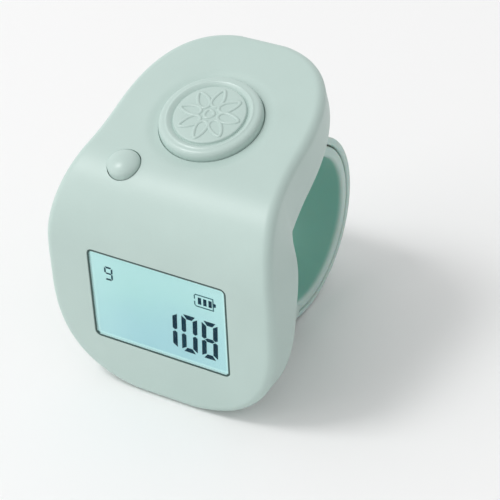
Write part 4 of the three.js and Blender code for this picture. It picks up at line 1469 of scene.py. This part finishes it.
@dataclass
class InnerStrap(Strap):
    """Strap next to the finger, with studs for the other strap's holes."""

    studs: Sequence[float] = (0.0, -17.0)
    stud_head: float = 11.7

    def details(self, band: Piece) -> None:
        """Adds the studs."""
        base = self.middle_radius
        for index, degrees in enumerate(self.studs):
            head = self.stud_head
            profile = [
                (0.75, base), (0.75, head), (1.1, head), (1.15, head + 0.07), (1.15, head + 0.22),
                (1.0, head + 0.35), (0.6, head + 0.39), (0.0, head + 0.4)]
            combine(band, "UNION", self.radial_tool(f"stud_{index}", degrees, profile))


@dataclass
class OuterStrap(Strap):
    """Outer strap with a row of holes."""

    holes: int = 5
    pitch_degrees: float = 17.0
    hole_radius: float = 0.95

    def details(self, band: Piece) -> None:
        """Cuts the row of holes."""
        for index in range(self.holes):
            degrees = (index - (self.holes - 1) / 2) * self.pitch_degrees
            profile = [
                (self.hole_radius, self.middle_radius + side) for side in (-1, 1)]
            combine(band, "DIFFERENCE", self.radial_tool(f"hole_{index}", degrees, profile))


@dataclass
class CoverScrews:
    """Small cross-head screws, built alike at their four places."""

    form: HeadForm = field(default_factory=HeadForm)
    foot: tuple[float, float] = (2.9, 4.5)
    tail: tuple[float, float] = (2.2, 41.5)
    shank: float = 0.5
    head: float = 0.85
    head_height: float = 0.4
    length: float = 1.1
    recess: float = 0.2

    def places(self) -> list[tuple[float, float]]:
        """Returns the screws' places, across and along the face."""
        spots = []
        for inset, station in (self.foot, self.tail):
            across = self.form.half_width(station) - inset
            spots += [(-across, station), (across, station)]
        return spots

    def screw(self, name: str) -> Piece:
        """Returns one screw in its own frame, head towards +Z."""
        top = self.head_height
        piece = turned(name, [
            (self.shank / 2, -self.length), (self.shank, -self.length + 0.4), (self.shank, 0),
            (self.head - 0.03, 0), (self.head, 0.03), (self.head, top * 0.6),
            (self.head * 0.85, top * 0.88), (self.head * 0.6, top), (0.0, top * 1.02)], 48)
        for turn in (0, math.pi / 2):
            blade = rounded_plate(
                "blade", (2 * self.shank, self.recess), self.recess / 4,
                [(0, top / 2), (0, top * 2)], 3)
            combine(piece, "DIFFERENCE", settle(blade, Matrix.Rotation(turn, 4, "Z")))
        return piece

    def build(self, palette: Palette) -> None:
        """Builds, places and dresses the screws."""
        for index, (across, station) in enumerate(self.places(), 1):
            piece = self.screw(f"cover_screw_{index}_turned")
            turn, _, _ = self.form.face_at(station)
            seat = self.form.wall_depth(station) - 0.53
            into = Vector((0, math.cos(turn), -math.sin(turn)))
            side = Vector((1, 0, 0))
            along = into.cross(side)
            basis = Matrix((side, along, into)).transposed().to_4x4()
            settle(piece, Matrix.Translation(self.form.point(across, station, seat)) @ basis)
            soften(piece, 35)
            fit(piece, Body.COUNTER, Slot.FASTENER, palette.fastener, f"cover_screw_{index}")


@dataclass
class InnerWorks:
    """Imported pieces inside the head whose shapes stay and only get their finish."""

    def build(self, palette: Palette) -> None:
        """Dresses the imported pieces."""
        finishes = {
            "backlight_plate": palette.white, "display_frame": palette.black,
            "display_board": palette.board, "contact_strip": palette.strip,
            "count_switch": palette.black, "count_plunger": palette.white,
            "reset_switch": palette.black, "reset_plunger": palette.white,
            "key_board": palette.board, "controller_chip": palette.black,
            "button_cell": palette.cell, "cap_contact": palette.contact,
            "can_contact": palette.contact, "board_film": palette.film,
            "lower_pin": palette.fastener, "upper_pin": palette.fastener,
        }
        for name, material in finishes.items():
            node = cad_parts[name]
            node.data.materials.clear()
            node.data.materials.append(material)
            LOG.info("%s: packed shape kept", name)


# Light, floor and camera


@dataclass
class Studio:
    """Pale floor, soft lamps and the camera at the photograph's angle."""

    azimuth: float = 30.357
    elevation: float = 36.054
    roll: float = 2.634
    aim: tuple[float, float, float] = (0.0, 8.0, 17.0)
    slide: tuple[float, float, float] = (-6.465, -0.676, 193.7)
    focal_pixels: float = 1725.825
    frame_pixels: float = 500.0
    floor_colour: tuple[int, int, int] = (247, 247, 247)
    ambient: float = 0.70
    lean: float = 0.34
    key_power: float = 3.0
    key_place: tuple[float, float, float] = (-0.42, -0.32, 0.85)
    key_size: float = 0.26
    fill_power: float = 2.2
    fill_place: tuple[float, float, float] = (-0.75, -0.80, 0.62)
    fill_size: float = 0.9
    lit_place: tuple[float, float, float] = (0.0, 0.0, 0.015)
    floor_size: float = 6.0
    floor_cloud: tuple[int, int, int] = (246, 246, 246)

    def axes(self) -> Matrix:
        """Returns rows right, down and forward of the view."""
        turn, tilt, roll = (
            math.radians(value) for value in (self.azimuth, self.elevation, self.roll))
        right = Vector((math.cos(turn), math.sin(turn), 0))
        forward = Vector((
            -math.sin(turn) * math.cos(tilt), math.cos(turn) * math.cos(tilt), -math.sin(tilt)))
        down = forward.cross(right)
        rolled_right = right * math.cos(roll) + down * math.sin(roll)
        rolled_down = down * math.cos(roll) - right * math.sin(roll)
        return Matrix((rolled_right, rolled_down, forward))

    def camera(self) -> None:
        """Places the camera."""
        rows = self.axes()
        place = Vector(self.aim) - rows.transposed() @ Vector(self.slide)
        data = bpy.data.cameras.new("view")
        data.sensor_fit = "HORIZONTAL"
        data.sensor_width = 36.0
        data.lens = data.sensor_width * self.focal_pixels / self.frame_pixels
        data.clip_start = 0.02
        camera = bpy.data.objects.new("view", data)
        basis = Matrix((rows[0], -rows[1], -rows[2])).transposed().to_4x4()
        camera.matrix_world = Matrix.Translation(part_point(*place)) @ basis
        bpy.context.scene.collection.objects.link(camera)
        bpy.context.scene.camera = camera

    def lamp(
        self, name: str, place: tuple[float, float, float], size: float, power: float
    ) -> None:
        """Adds one square lamp that faces the counter.

        Args:
            name: Name of the lamp.
            place: Its place in metres.
            size: Length of its sides in metres.
            power: Its power in watts.
        """
        data = bpy.data.lights.new(name, "AREA")
        data.shape = "SQUARE"
        data.size = size
        data.energy = power
        lamp = bpy.data.objects.new(name, data)
        facing = Vector(self.lit_place) - Vector(place)
        turn = facing.to_track_quat("-Z", "Y").to_matrix().to_4x4()
        lamp.matrix_world = Matrix.Translation(place) @ turn
        bpy.context.scene.collection.objects.link(lamp)

    def world(self) -> None:
        """Sets an even pale surround that the camera and gloss see as white."""
        world = bpy.data.worlds.new("surround")
        bpy.context.scene.world = world
        world.use_nodes = True
        graph = world.node_tree
        path = add_node(graph, "ShaderNodeLightPath")
        seen = path.outputs["Is Camera Ray"]
        for other in ("Is Transmission Ray", "Is Glossy Ray"):
            seen = add_node(
                graph, "ShaderNodeMath", {"operation": "MAXIMUM"},
                {0: seen, 1: path.outputs[other]}).outputs[0]
        direction = add_node(graph, "ShaderNodeTexCoord")
        parts = add_node(graph, "ShaderNodeSeparateXYZ", values={0: direction.outputs["Generated"]})
        sideways = add_node(graph, "ShaderNodeMapRange", values={
            "Value": parts.outputs["X"], "From Min": -1.0,
            "To Min": self.ambient * (1 + self.lean), "To Max": self.ambient * (1 - self.lean)})
        strength = add_node(graph, "ShaderNodeMapRange", values={
            "Value": seen, "To Min": sideways.outputs[0], "To Max": 1.0})
        background = graph.nodes["Background"]
        background.inputs["Color"].default_value = (1, 1, 1, 1)
        graph.links.new(strength.outputs[0], background.inputs["Strength"])

    def floor(self) -> None:
        """Adds the pale floor."""
        floor = added("studio_floor", bpy.ops.mesh.primitive_plane_add, size=self.floor_size)
        tree = Tree("studio_paper", Roughness=0.9, Specular_IOR_Level=0.1)
        cloud = tree.noise(3.0)
        tree.feed("Base Color", tree.mixed(
            cloud, linear(*self.floor_colour), linear(*self.floor_cloud)))
        floor.data.materials.append(tree.material)

    def build(self) -> None:
        """Sets up the whole studio."""
        bpy.context.scene.view_settings.view_transform = "Standard"
        self.camera()
        self.world()
        self.floor()
        self.lamp("key", self.key_place, self.key_size, self.key_power)
        self.lamp("fill", self.fill_place, self.fill_size, self.fill_power)


def main() -> None:
    """Builds the studio and every piece of the counter."""
    logging.basicConfig(level=logging.INFO, format="%(name)s %(message)s")
    Studio().build()
    palette = Palette()
    HeadShell().build(palette)
    BackCover().build(palette)
    Buttons().build(palette)
    Display().build(palette)
    InnerStrap(
        "inner_strap_band", "inner_strap", 9.75, 1.3, 0.34, 458.0, 246.0, Winding.FALLING).build(palette)
    OuterStrap(
        "outer_strap_band", "outer_strap", 11.05, 0.9, 0.24, -110.0, 112.0, Winding.RISING,
        tip_thickness=0.6).build(palette)
    CoverScrews().build(palette)
    InnerWorks().build(palette)
    bpy.context.view_layer.update()


if __name__ == "__main__":
    main()
